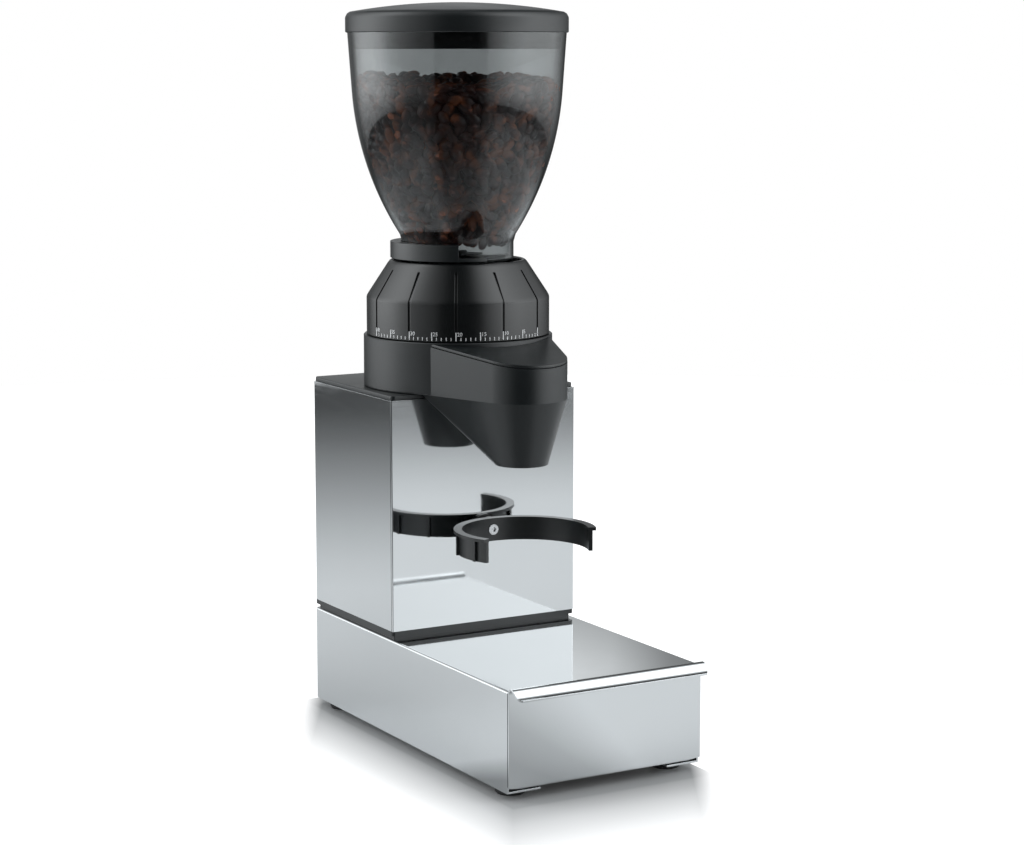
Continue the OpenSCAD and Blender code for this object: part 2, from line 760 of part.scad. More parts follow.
module motor_can() {
  color(steel) difference() {
    translate([0, motor_y, motor_z]) {
      difference() {
        union() {
          cylinder(r = motor_r, h = motor_l);
          translate([0, 0, -4]) cylinder(r = 8, h = 4 + eps);
        }
        translate([0, 0, motor_wall]) cylinder(r = motor_r - motor_wall, h = motor_l - 2 * motor_wall);
        translate([0, 0, -2]) cylinder(r = rotor_shaft_r + run, h = motor_l + 4);
        for (a = [0:60:300]) rotate([0, 0, a])
          translate([motor_bolt_r, 0, -cut]) cylinder(r = 3, h = motor_wall + 2 * cut);
      }
      // lugs that take the screws, under the can's upper end
      for (a = motor_bolt_dirs) rotate([0, 0, a]) translate([motor_bolt_r, 0, motor_l - 8])
        cylinder(r = 3.4, h = 8 - motor_wall + eps);
    }
    motor_screw_places(z_frame - 9) cylinder(r = motor_screw_r + run / 2, h = 12);
  }
}

module motor_magnets() {
  color(dark) translate([0, motor_y, motor_z + 12]) for (a = [20, 200])
    ring_sector(motor_r - motor_wall - run, motor_r - motor_wall - 4, motor_l - 30, a, 140);
}

module motor_rotor() {
  color(steel) translate([0, motor_y, 0]) {
    translate([0, 0, motor_z - 1.5])
      cylinder(r = rotor_shaft_r, h = idler_big_z + idler_big_t + 1 - motor_z + 1.5);
    difference() {
      translate([0, 0, motor_z + 10]) cylinder(r = 18.5, h = motor_l - 26);
      for (a = [0:45:315]) rotate([0, 0, a]) translate([19, -1, motor_z]) cube([4, 2, motor_l]);
      for (a = [0:45:315]) rotate([0, 0, a]) translate([13.5, 0, motor_z]) cylinder(r = 2, h = motor_l);
    }
    translate([0, 0, motor_z + 4]) cylinder(r = 8, h = 6 + eps);
  }
  color(brass) translate([0, motor_y, idler_big_z - 1])
    gear(gear_m1, pinion_n, idler_big_t + 2, motor_ang + 180 + 180 / pinion_n);
}

module motor_screws() {
  color(steel) motor_screw_places(z_frame + frame_t) mirror([0, 0, 1])
    screw(motor_screw_r, frame_t + 6, 2.8, 1.6);
}

// ---------- electrics ----------

module board_post_places() {
  for (y = [board_y0 + 5, board_y0 + board_l - 5], z = [board_z + 5, board_z + board_h - 5])
    translate([-tower_w / 2 + sheet_t, y, z]) rotate([0, 90, 0]) children();
}

module control_board() {
  x = board_x + board_t;
  color([0.10, 0.30, 0.16]) difference() {
    translate([board_x, board_y0, board_z]) cube([board_t, board_l, board_h]);
    board_post_places() cylinder(r = 1.5 + run, h = 20);
  }
  color(black) translate([x - eps, board_y0 + 12, board_z + 12]) cube([16, 24, 19]);
  color(steel) translate([x - eps, board_y0 + 52, board_z + 22]) rotate([0, 90, 0]) cylinder(r = 8, h = 20);
  color(brass) translate([x - eps, board_y0 + 12, board_z + 40]) cube([12, 28, 18]);
  color(black) translate([x - eps, board_y0 + 52, board_z + 44]) cube([9, 16, 12]);
}

module board_posts() {
  color(brass) board_post_places() {
    cylinder(r = 3, h = 6, $fn = 6);
    cylinder(r = 1.5, h = 6 + board_t + 1.5);
  }
}

module switch_bracket() {
  y0 = tower_y + sheet_t;
  color(steel) difference() {
    translate([0, 0, z_fork - 21]) linear_extrude(36) {
      translate([-22, bracket_y]) square([44, bracket_t]);
      for (x = [-1, 1]) {
        translate([x * (22 - bracket_t / 2) - bracket_t / 2, y0]) square([bracket_t, bracket_y - y0 + eps]);
        translate([x * 27 - 6, y0]) square([12, bracket_t]);
      }
    }
    translate([0, bracket_y - cut, z_fork + 9]) rotate([-90, 0, 0]) cylinder(r = 2, h = 4);
  }
}

module microswitch() {
  y1 = bracket_y;
  color(black) {
    translate([10.2, y1 - 9.5, z_fork - 13]) cube([6.4, 9.5, 20]);
    difference() {
      translate([10.2, y1 - 16.5, z_fork - lever_arm - 2.5]) cube([6.4, 16.5, 6.5]);
      translate([11.2, y1 - 20, z_fork - lever_arm - 3]) cube([4.4, 10, 8]);
      lever_pin_bore(run);
    }
  }
  // terminals
  color(steel) for (z = [-10, -3, 4]) translate([16.6 - eps, y1 - 6, z_fork + z]) cube([3.6, 3, 0.8]);
}

module lever_pin_bore(gap) {
  translate([9, lever_y, z_fork - lever_arm]) rotate([0, 90, 0]) cylinder(r = 1 + gap, h = 9);
}

module switch_lever() {
  color(steel) {
    translate([11.5, lever_y - lever_t / 2, z_fork - lever_arm]) cube([3.8, lever_t, lever_arm + 4]);
    translate([8, lever_y - lever_t / 2, z_fork]) cube([7.3, lever_t, 5]);
    translate([10.4, lever_y, z_fork - lever_arm]) rotate([0, 90, 0]) cylinder(r = 1, h = 6);
  }
}

module plunger_guide() {
  color(black) translate([0, tower_y, z_fork]) rotate([-90, 0, 0]) difference() {
    union() {
      translate([0, 0, -1.2]) cylinder(r = guide_r + 2.5, h = 1.2);
      translate([0, 0, -eps]) cylinder(r = guide_r, h = guide_l + eps);
      translate([0, 0, sheet_t]) ring(guide_r + 3, guide_r - eps, 2.4);
    }
    translate([0, 0, -2]) cylinder(r = plunger_r + run, h = guide_l + 4);
  }
}

module plunger() {
  y0 = fork_y + fork_r + 1;
  color(steel) translate([0, y0, z_fork]) rotate([-90, 0, 0]) {
    cylinder(r = plunger_r, h = stop_y - y0 + stop_t);
    translate([0, 0, stop_y - y0]) cylinder(r = stop_r, h = stop_t);
    translate([0, 0, stop_y - y0 + stop_t - eps]) cylinder(r = 2, h = 4);
  }
}

// Coil spring between the plunger's stop and the bracket, wound by a loop of short rods
module plunger_spring() {
  y0 = stop_y + stop_t + 0.1;
  l = bracket_y - y0 - 0.1;
  turns = 5;
  wire = 0.5;
  coil_r = 4;
  per = 16;
  rise = (l - 2 * wire) / (turns * per);
  function p(i) = [coil_r * cos(i * 360 / per), wire + rise * i, coil_r * sin(i * 360 / per)];
  color(steel) translate([0, y0, z_fork]) polyhedron(
    points = [for (i = [0:turns * per], k = [0:5])
      let (a = i * 360 / per, q = p(i), b = k * 60)
        q + wire * cos(b) * [cos(a), 0, sin(a)] + wire * sin(b) * [0, 1, 0]],
    faces = concat(
      [[for (k = [0:5]) k]],
      [for (i = [0:turns * per - 1], k = [0:5])
        let (n = (k + 1) % 6) [i * 6 + k, (i + 1) * 6 + k, (i + 1) * 6 + n, i * 6 + n]],
      [[for (k = [5:-1:0]) turns * per * 6 + k]]));
}

module portafilter_fork() {
  z0 = z_fork - fork_h / 2;
  start = 90 - fork_arc / 2;
  inner = fork_r - fork_lip - fork_wall;
  boss_end = tower_y - 1.2 - fork_travel - slip;
  color(black) difference() {
    union() {
      translate([0, fork_y, z0]) ring_sector(fork_r - fork_lip, inner, fork_h, start, fork_arc);
      // stiff rim along the top
      translate([0, fork_y, z0 + fork_h - fork_top_t])
        ring_sector(fork_r, inner - 0.6, fork_top_t, start, fork_arc);
      // ribs on the outside of the band
      for (a = [-1, 1], b = [14, 44, 74, 104]) rotate_about(fork_y, 90 + a * b)
        translate([fork_r - fork_lip - eps, -1, z0]) cube([fork_lip - 0.6, 2, fork_h - 1]);
      // boss that takes the screw and the plunger
      translate([0, fork_y + inner + 0.4, z_fork]) rotate([-90, 0, 0])
        cylinder(r = 7.4, h = boss_end - fork_y - inner - 0.4);
    }
    translate([0, fork_y + fork_r + 1, z_fork]) rotate([-90, 0, 0])
      cylinder(r = plunger_r + run / 2, h = 6);
    translate([0, fork_y + inner - 6, z_fork]) rotate([-90, 0, 0]) cylinder(r = 3.6, h = 7.6);
    translate([0, fork_y + inner - 6, z_fork]) rotate([-90, 0, 0]) cylinder(r = m4_r, h = 20);
  }
}

// Turns its children about the vertical line at the given y on the middle plane
module rotate_about(y, a) {
  translate([0, y, 0]) rotate([0, 0, a]) children();
}

module fork_screw() {
  inner = fork_r - fork_lip - fork_wall;
  color(steel) translate([0, fork_y + inner + 1.6, z_fork]) rotate([-90, 0, 0])
    screw(m4_r, fork_r + 1 - inner - 1.6, 3.4, 2.2);
}

// ---------- head ----------

// Plan of the spout: round nose and two flat flanks that run into the round head
module spout_outline() {
  polygon(concat([flank_start], arc([0, spout_y], nose_r, flank_dir + 90, -270 - flank_dir, 48),
    [[-flank_start[0], flank_start[1]]]));
}

// Everything above the spout's sloping edge, lifted by up
module above_edge(up) {
  translate([0, spout_y, z_head + spout_edge_h + up]) rotate([spout_tilt, 0, 0])
    translate([-100, -100, 0]) cube([200, 260, 60]);
}

// Rocker switch on the spout's right flank: X runs forward along it, Y points out of it
module rocker_place() {
  at = flank + 0.57 * (flank_end - flank);
  translate([at[0], at[1], z_head + 12]) rotate([0, 0, flank_dir]) children();
}

module head_housing() {
  window_z = z_impeller;
  seam = 0.3;      // step between the spout's upright wall and its funnel
  color(dark) difference() {
    union() {
      translate([0, head_y, z_head]) cylinder(r = head_r, h = head_h);
      difference() {
        translate([0, 0, z_head]) linear_extrude(head_h) spout_outline();
        above_edge(0);
      }
      // funnel that draws the spout in to the nozzle
      hull() {
        translate([0, 0, z_head]) linear_extrude(1) offset(delta = -seam) spout_outline();
        translate([0, spout_y, z_nozzle]) cylinder(r = nozzle_r, h = 0.2);
      }
    }
    // hollow round the burr chamber
    translate([0, head_y, z_head + 3]) difference() {
      cylinder(r = head_r - head_wall, h = head_h);
      translate([0, 0, -cut]) cylinder(r = chamber_r + chamber_wall, h = head_h + 2 * cut);
      for (a = [30:60:330]) rotate([0, 0, a])
        translate([chamber_r, -1, -cut]) cube([head_r, 2, head_h - 12]);
      for (a = head_screw_dirs) rotate([0, 0, a])
        translate([head_bolt_r, 0, -cut]) cylinder(r = 5, h = 14);
    }
    // burr chamber with key slots for the carrier
    translate([0, head_y, z_impeller - 0.6]) cylinder(r = chamber_r, h = head_h);
    for (a = [90, 210, 330]) translate([0, head_y, z_carrier - 2]) rotate([0, 0, a])
      translate([0, -key_w / 2 - slip, 0]) cube([chamber_r + key_depth + slip, key_w + 2 * slip, head_h]);
    // seat of the upper bearing and the shaft's way through
    translate([0, head_y, z_head - cut]) cylinder(r = bearing_r + run / 2, h = boss_h - 2 + cut);
    translate([0, head_y, z_head - cut]) cylinder(r = shaft_r + 1, h = boss_h + 4);
    // chute from the chamber's window down to the nozzle
    hull() {
      translate([-13, flank[1] - 4, window_z]) cube([26, 8, 11]);
      translate([0, spout_y, z_nozzle + 13]) cylinder(r = nozzle_r - 4, h = 2, $fn = 32);
    }
    translate([-12.5, flank[1] + 2, window_z + 0.3]) cube([25, 14, 10.4]);
    translate([0, spout_y, z_nozzle - cut]) cylinder(r = nozzle_r - 2.4, h = 14 + cut);
    head_screw_places(z_head - cut) cylinder(r = head_screw_r, h = 13);
    rocker_place() rocker_box(rocker_wall + slip, -16, 22);
  }
}

module head_screws() {
  color(steel) head_screw_places(z_top) screw(head_screw_r, top_t + 9, 3.2, 2);
}

module spout_lid() {
  color(dark) difference() {
    translate([0, 0, z_head]) linear_extrude(head_h - 0.2) spout_outline();
    difference() {
      translate([-100, -140, z_head - cut]) cube([200, 260, 60]);
      above_edge(0);
    }
    above_edge(spout_lid_t);
    translate([0, head_y, z_head]) cylinder(r = head_r + 0.45, h = head_h + cut);
  }
}

module rocker_box(out, y, d) {
  l = rocker_l + rocker_room + out;
  w = rocker_w / 2 + slip + out;
  translate([-l, y, -w]) cube([2 * l, d, 2 * w]);
}

module rocker_frame() {
  color(black) rocker_place() difference() {
    union() {
      rocker_box(rocker_wall + 1.4, 0, 2.4);
      rocker_box(rocker_wall, -15, 15 + eps);
    }
    rocker_box(0, -2.6, 6);
    translate([0, rocker_pin_y, -8]) cylinder(r = 1 + run, h = 16);
  }
}

// The rocker stands tilted in its off position, with its rear end out
module rocker_button() {
  color(black) rocker_place() translate([0, rocker_pin_y, 0]) {
    rotate([0, 0, -rocker_tilt]) translate([0, 0, -rocker_w / 2]) linear_extrude(rocker_w)
      polygon([[-rocker_l, 0], [-2, -1.6], [2, -1.6], [rocker_l, 0], [rocker_l, 4],
        [rocker_l - 0.8, 4.2], [0, 2.6], [-rocker_l + 0.8, 4.2], [-rocker_l, 4]]);
    translate([0, 0, -rocker_w / 2 - 1.4]) cylinder(r = 1, h = rocker_w + 2.8);
  }
}

module impeller() {
  color(black) translate([0, head_y, z_impeller]) difference() {
    union() {
      cylinder(r = 38, h = impeller_t);
      cylinder(r = 10, h = z_cone_burr - z_impeller);
      for (a = [0:60:300]) rotate([0, 0, a]) translate([26, -1.5, 0]) cube([14.5, 3, 10]);
    }
    translate([0, 0, -cut]) cylinder(r = shaft_r + run / 2, h = 20);
  }
}

module cone_burr() {
  color(steel) translate([0, head_y, z_cone_burr]) difference() {
    cylinder(r1 = cone_burr_r, r2 = cone_burr_top_r, h = cone_burr_h);
    translate([0, 0, -cut]) cylinder(r = shaft_r + run / 2, h = cone_burr_h + 2 * cut);
    // fine teeth round the foot
    for (i = [0:29]) rotate([0, 0, i * 12]) translate([cone_burr_r - 2.4, 0, -cut])
      rotate([14, -28, 0]) translate([0, -0.6, 0]) cube([3, 1.2, 11]);
    // broad breaker flutes above them
    for (i = [0:5]) rotate([0, 0, i * 60]) translate([cone_burr_top_r - 2, 0, cone_burr_h + 1])
      rotate([-24, 152, 0]) translate([-4.4, -2, 0]) cube([6, 4, 19]);
  }
}

module cone_burr_nut() {
  color(steel) translate([0, head_y, z_cone_burr + cone_burr_h]) difference() {
    cylinder(r = 8, h = 5.5, $fn = 6);
    translate([0, 0, -cut]) cylinder(r = shaft_r + run, h = cut);
    translate([0, 0, -cut]) cylinder(r = shaft_r - 1 + run / 2, h = 8);
  }
}

module ring_burr() {
  color(steel) translate([0, head_y, z_carrier + 0.3]) difference() {
    cylinder(r = ring_burr_r, h = ring_burr_h);
    translate([0, 0, -eps])
      cylinder(r1 = ring_burr_low_r, r2 = ring_burr_high_r, h = ring_burr_h + 2 * eps);
    for (i = [0:35]) rotate([0, 0, i * 10]) translate([ring_burr_low_r - 0.6, -0.6, -cut])
      rotate([-10, 19, 0]) cube([2, 1.2, ring_burr_h + 3]);
  }
}

module burr_carrier() {
  burr_top = z_carrier + 0.3 + ring_burr_h;
  color(dark) difference() {
    union() {
      translate([0, head_y, z_carrier]) cylinder(r = carrier_r, h = z_carrier_top - z_carrier);
      for (a = [90, 210, 330]) translate([0, head_y, z_carrier]) rotate([0, 0, a])
        translate([0, -key_w / 2, 0]) cube([chamber_r + key_depth - slip, key_w, 12]);
    }
    translate([0, head_y, z_carrier - cut])
      cylinder(r = ring_burr_r + run / 2, h = burr_top - z_carrier + cut);
    translate([0, head_y, burr_top - eps]) cylinder(r = throat_r, h = z_seat - burr_top + 2 * eps);
    translate([0, head_y, z_seat]) cylinder(r = neck_r + slip, h = 20);
    // shallow thread round the outside
    for (z = [z_hub + 4:3:z_seat]) translate([0, head_y, z]) ring(carrier_r + cut, carrier_r - 0.8, 1.4);
  }
}

module adjusting_collar() {
  inner_cone_z = z_cone - 1;
  rim_in = hub_r + hub_wall;
  color(dark) difference() {
    translate([0, head_y, 0]) rotate_extrude() polygon([
      [hub_r, z_hub], [hub_r + hub_wall, z_hub], [rim_in, z_rim - 4],
      [collar_r - collar_wall, inner_cone_z], [collar_r - collar_wall, z_collar],
      [collar_r - 0.4, z_collar], [collar_r, z_collar + 0.4], [collar_r, z_cone - 0.8],
      [collar_r - 0.5, z_cone + 0.5], [collar_top_r + 0.7, z_rim - 1], [collar_top_r - 0.4, z_rim],
      [hub_r + 0.4, z_rim], [hub_r, z_rim - 0.6]]);
    for (i = [0:groove_n - 1]) translate([0, head_y, 0]) rotate([0, 0, -60 + i * 360 / groove_n])
      rotate([90, 0, 0]) translate([0, 0, -groove_w / 2]) linear_extrude(groove_w)
        polygon([[collar_r - 1.2, z_collar + 5], [collar_r - 1.2, z_cone - 0.4],
          [collar_top_r + 2.3, z_rim - 6], [collar_top_r + 8, z_rim - 2], [collar_r + 4, z_cone + 4],
          [collar_r + 4, z_collar + 5]]);
  }
}

// ---------- hopper ----------

// Outer wall of the hopper from its neck's foot to its top edge, moved in by gap
function hopper_wall_points(gap) = concat(
  [[neck_r - gap, z_neck], [neck_r - gap, z_flare - 5]],
  [for (i = [0:14]) let (a = arc_end + (hopper_taper - arc_end) * i / 14)
    [taper_low_r - hopper_arc_r * (cos(hopper_taper) - cos(a)) - gap / cos(a),
     z_hopper_top - hopper_taper_h - hopper_arc_r * (sin(a) - sin(hopper_taper))]],
  [[hopper_r - gap / cos(hopper_taper), z_hopper_top]]);

module hopper() {
  out = hopper_wall_points(0);
  in = hopper_wall_points(hopper_wall);
  n = len(in);
  color(clear) difference() {
    union() {
      translate([0, head_y, 0]) rotate_extrude()
        polygon(concat(out, [for (i = [n - 1:-1:0]) in[i]]));
      // ledge that the grate lies on
      translate([0, head_y, floor_z - 1.5]) ring(neck_r - 1, grate_r - 1.4, 1.5);
      // foot that drops into the carrier's throat
      translate([0, head_y, z_neck - 3]) ring(throat_r - slip, throat_r - slip - 2, 4);
      translate([0, head_y, z_neck]) ring(neck_r - 1, throat_r - slip - 2, 2);
    }
    // slot that the shutter's arm travels in
    translate([0, head_y, floor_z + floor_t])
      ring_sector(neck_r + 2, neck_r - hopper_wall - 1, slot_h,
        arm_dir - arm_ang / 2 - 4, blade_ang + arm_ang + 8);
  }
}

// Fixed grate in the neck, with windows that the shutter's blades cover
module hopper_grate() {
  color(dark) translate([0, head_y, floor_z]) difference() {
    union() {
      for (i = [0:blade_n - 1]) ring_sector(grate_r - 0.6, 4, floor_t, 30 + i * 2 * blade_ang, blade_ang);
      ring(grate_r, grate_r - 1.6, floor_t);
      cylinder(r = 6, h = floor_t);
    }
    translate([0, 0, -cut]) cylinder(r = 2 + run, h = 2 * cut + floor_t);
  }
}

module shutter_ring() {
  z0 = floor_z + floor_t + 0.2;
  inner = neck_r + band_gap;
  color(dark) translate([0, head_y, 0]) {
    // blades over the grate
    translate([0, 0, z0]) {
      for (i = [0:blade_n - 1])
        ring_sector(neck_r - hopper_wall - slip, 4, blade_t, 30.5 + i * 2 * blade_ang, blade_ang - 1);
      cylinder(r = 6, h = blade_t + 3);
      ring_sector(neck_r + 2, neck_r - 8, blade_t, arm_dir - arm_ang / 2, arm_ang);
      translate([0, 0, -floor_t - 0.4]) cylinder(r = 2, h = floor_t + 1);
    }
    // partial grip band round the neck, with a low rim that runs on to the front
    translate([0, 0, band_z]) ring_sector(band_r, inner, band_h, 96, 146);
    translate([0, 0, band_z]) ring_sector(band_r, inner, 2, 96, 170);
  }
}

module hopper_lid() {
  dome_r = (pow(lid_r - 3, 2) + pow(lid_dome_h, 2)) / (2 * lid_dome_h);
  dome_z = lid_rim_h + lid_dome_h - dome_r;
  dome_a = asin((lid_r - 3) / dome_r);
  step_r = hopper_r + 0.35;
  color(dark) translate([0, head_y, lid_z]) difference() {
    rotate_extrude() polygon(concat(
      // skirt that drops into the hopper, then the step over the hopper's edge
      [[0, 0], [skirt_r - skirt_wall, 0], [skirt_r - skirt_wall, -skirt_h]],
      [[skirt_r - 0.4, -skirt_h - 0.4], [skirt_r, 1 - skirt_h], [skirt_r, 0]],
      [[step_r, 0], [step_r, -1.2], [lid_r - 0.2, -1.2], [lid_r, -0.8]],
      // rim and dome
      [[lid_r, lid_rim_h - 2.6], [lid_r - 0.4, lid_rim_h - 1], [lid_r - 1.6, lid_rim_h - 0.2]],
      [for (i = [0:8]) let (a = dome_a * (1 - i / 8)) [dome_r * sin(a), dome_z + dome_r * cos(a)]]));
    // hollow under the dome
    translate([0, 0, -1]) cylinder(r = skirt_r - skirt_wall, h = lid_rim_h - 1);
    // groove that holds the seal
    translate([0, 0, -7]) ring(hopper_r, skirt_r - 1, 3);
  }
}

module lid_seal() {
  color(black) translate([0, head_y, lid_z - 6.9]) ring(skirt_r + 0.35, skirt_r - 0.98, 2.8);
}

base_casing();
rubber_feet();
foot_rivets();
drawer_front();
drawer_nuts();
drawer_tray();
knock_bar();
knock_bar_sleeve();
tower_plinth();
plinth_screws();
tower_wrap();
tower_front_panel();
tower_top_plate();
cord_gland();
gear_frame();
frame_screws();
lower_bearing();
upper_bearing();
burr_shaft();
burr_gear();
idler_gear();
idler_pin();
motor_can();
motor_magnets();
motor_rotor();
motor_screws();
control_board();
board_posts();
switch_bracket();
microswitch();
switch_lever();
plunger_guide();
plunger();
plunger_spring();
portafilter_fork();
fork_screw();
head_housing();
head_screws();
spout_lid();
rocker_frame();
rocker_button();
impeller();
cone_burr();
cone_burr_nut();
ring_burr();
burr_carrier();
adjusting_collar();
hopper();
hopper_grate();
shutter_ring();
hopper_lid();
lid_seal();
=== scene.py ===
import math
import random

import bmesh
import bpy
from mathutils import Matrix, Vector


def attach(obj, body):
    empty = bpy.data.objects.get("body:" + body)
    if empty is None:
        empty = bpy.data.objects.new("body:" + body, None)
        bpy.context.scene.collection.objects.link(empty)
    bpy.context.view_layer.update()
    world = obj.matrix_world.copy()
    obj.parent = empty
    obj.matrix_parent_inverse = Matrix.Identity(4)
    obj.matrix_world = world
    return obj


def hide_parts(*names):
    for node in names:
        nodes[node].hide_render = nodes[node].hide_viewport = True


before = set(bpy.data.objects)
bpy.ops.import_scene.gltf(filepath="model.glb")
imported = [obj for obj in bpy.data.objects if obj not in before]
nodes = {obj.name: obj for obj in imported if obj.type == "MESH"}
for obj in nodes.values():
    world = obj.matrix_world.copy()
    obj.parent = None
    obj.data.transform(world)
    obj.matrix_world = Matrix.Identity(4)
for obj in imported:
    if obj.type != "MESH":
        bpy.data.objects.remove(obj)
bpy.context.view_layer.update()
MM = 0.001

# ---------- Table, light and camera ----------
# A pale round table in a studio. The room's glow stands for two tall softboxes,
# left and right of a dark gap behind the camera, and a low bright wall at the back.

PITCH = -8.58
YAW = 30.01
camera_data = bpy.data.cameras.new("camera")
camera_data.sensor_width = 36
camera_data.lens = 87.56
camera_data.clip_end = 60
camera = bpy.data.objects.new("camera", camera_data)
camera.location = (-0.77731, -1.3641, 0.4422)
camera.rotation_euler = (math.radians(90 + PITCH), 0, math.radians(-YAW))
bpy.context.scene.collection.objects.link(camera)
bpy.context.scene.camera = camera
bpy.context.scene.view_settings.view_transform = "Standard"


def shade(name):
    """A new node material with its shader, ready for its own nodes."""
    mat = bpy.data.materials.new(name)
    mat.use_nodes = True
    return mat, mat.node_tree, mat.node_tree.nodes["Principled BSDF"]


def node(tree, kind, **values):
    n = tree.nodes.new(kind)
    for key, value in values.items():
        if key in n.inputs:
            n.inputs[key].default_value = value
        else:
            setattr(n, key, value)
    return n


def ramp(tree, source, stops):
    """A grey or coloured scale over a 0 to 1 value."""
    n = node(tree, "ShaderNodeValToRGB")
    scale = n.color_ramp
    for place, value in stops[1:-1]:
        scale.elements.new(place)
    for element, (place, value) in zip(scale.elements, stops):
        element.position = place
        element.color = (*value, 1) if isinstance(value, tuple) else (value, value, value, 1)
    tree.links.new(source, n.inputs[0])
    return n.outputs["Color"]


def reckon(tree, operation, *values):
    """One step of arithmetic on sockets and numbers."""
    n = node(tree, "ShaderNodeMath", operation=operation)
    for socket, value in zip(n.inputs, values):
        if isinstance(value, (int, float)):
            socket.default_value = value
        else:
            tree.links.new(value, socket)
    return n.outputs[0]


def heading(tree, x, y):
    """A compass direction as 0 to 1, from -180 degrees round to 180, 0 at +X and 90 at +Y."""
    return reckon(tree, "MULTIPLY_ADD", reckon(tree, "ARCTAN2", y, x), 0.5 / math.pi, 0.5)


def by_compass(stops, full=1.0):
    """Turns stops given in degrees into stops of a heading's scale."""
    return [((degrees + 180) / 360, value / full) for degrees, value in stops]


def cast(tree, source, colour):
    """Gives a tone a slight colour cast."""
    n = node(tree, "ShaderNodeMix", data_type="RGBA", blend_type="MULTIPLY")
    n.inputs["Factor"].default_value = 1.0
    n.inputs["B"].default_value = (*colour, 1)
    tree.links.new(source, n.inputs["A"])
    return n.outputs["Result"]


def direct(tree, limit=0.5):
    """One for what the camera sees by itself or through clear plastic, zero for reflected rays."""
    ray = node(tree, "ShaderNodeLightPath")
    bounced = reckon(tree, "SUBTRACT", ray.outputs["Ray Depth"], ray.outputs["Transmission Depth"])
    return reckon(tree, "LESS_THAN", bounced, limit)


# Brightness of the room by compass direction in degrees, and its brightest value
PEAK = 3.4
ROUND = [(-180, 1.3), (-160, 0.7), (-144, 0.45), (-142.5, 0.02), (-97, 0.02), (-88, 0.15), (-85, 0.9),
         (-70, 2.1), (-60, 2.9), (-50, 3.3), (-38, 3.3), (-24, 2.5), (-8, 1.7), (12, 0.8), (35, 0.3),
         (55.6, 0.2), (56.3, 0.36), (57.1, 0.62), (58.2, 0.95), (62, 1.0), (80, 0.5), (100, 0.6),
         (112, 1.2), (126, 2.3), (140, 3.3), (152, 3.4), (165, 2.2), (180, 1.3)]
world = bpy.data.worlds.new("studio")
bpy.context.scene.world = world
world.use_nodes = True
tree = world.node_tree
room = tree.nodes["Background"]
place = node(tree, "ShaderNodeTexCoord")
split = node(tree, "ShaderNodeSeparateXYZ")
tree.links.new(place.outputs["Generated"], split.inputs[0])
turn = heading(tree, split.outputs["X"], split.outputs["Y"])
lift = reckon(tree, "MULTIPLY_ADD", split.outputs["Z"], 0.5, 0.5)
around = ramp(tree, turn, by_compass(ROUND, PEAK))
height = ramp(tree, lift, [(0.36, 0.0), (0.42, 0.6), (0.47, 1.25), (0.52, 1.0), (0.90, 1.0), (0.97, 0.3)])
# The wall at the back is dim near the table and brightest at fourteen degrees
back = ramp(tree, turn, [(0.52, 0.0), (0.62, 1.0), (0.76, 1.0), (0.80, 0.0)])
dim = ramp(tree, lift, [(0.0, 0.7), (0.54, 0.76), (0.567, 0.62), (0.6125, 0.45), (0.6245, 0.0), (0.66, 0.35),
                        (0.8, 0.7)])
# The right box is weaker in a band over the table's near edge
front = ramp(tree, turn, [(0.25, 0.0), (0.29, 1.0), (0.36, 1.0), (0.40, 0.0)])
band = ramp(tree, lift, [(0.54, 0.0), (0.59, 0.52), (0.64, 0.52), (0.70, 0.0)])
kept = reckon(tree, "SUBTRACT", reckon(tree, "SUBTRACT", 1.0, reckon(tree, "MULTIPLY", back, dim)),
              reckon(tree, "MULTIPLY", front, band))
glow = reckon(tree, "MULTIPLY", reckon(tree, "MULTIPLY", around, height), kept)
# The camera itself sees plain white behind the table
seen = node(tree, "ShaderNodeMix", data_type="RGBA")
seen.inputs["B"].default_value = (1 / PEAK, 1 / PEAK, 1 / PEAK, 1)
tree.links.new(cast(tree, glow, (0.975, 1.005, 1.02)), seen.inputs["A"])
tree.links.new(direct(tree, 1.5), seen.inputs["Factor"])
tree.links.new(seen.outputs["Result"], room.inputs["Color"])
room.inputs["Strength"].default_value = PEAK

# A soft lamp overhead that lights the table and draws no highlight
lamp = bpy.data.lights.new("overhead", "AREA")
lamp.shape = "DISK"
lamp.size = 2.4
lamp.energy = 11
overhead = bpy.data.objects.new("overhead", lamp)
overhead.location = (0.3, -0.2, 2.2)
overhead.visible_camera = overhead.visible_glossy = overhead.visible_transmission = False
bpy.context.scene.collection.objects.link(overhead)

TABLE_R = 1.8
TABLE_GLOW = 0.95
bpy.ops.mesh.primitive_circle_add(vertices=96, radius=TABLE_R, fill_type="NGON", location=(0, 0, 0))
floor = bpy.context.object
floor.name = "table_top"
mat, tree, bsdf = shade("table_top")
bsdf.inputs["Base Color"].default_value = (0.30, 0.305, 0.31, 1)
bsdf.inputs["Roughness"].default_value = 0.3
bsdf.inputs["IOR"].default_value = 1.1
place = node(tree, "ShaderNodeTexCoord")
spread = node(tree, "ShaderNodeSeparateXYZ")
tree.links.new(place.outputs["Object"], spread.inputs[0])
table_x = spread.outputs["X"]
table_y = spread.outputs["Y"]


def slab(tree, value, half, pull, end):
    """How far along the pull a point enters (-1) or leaves (1) a strip of the given half width."""
    return reckon(tree, "DIVIDE", reckon(tree, "SUBTRACT", end * half, value), pull)


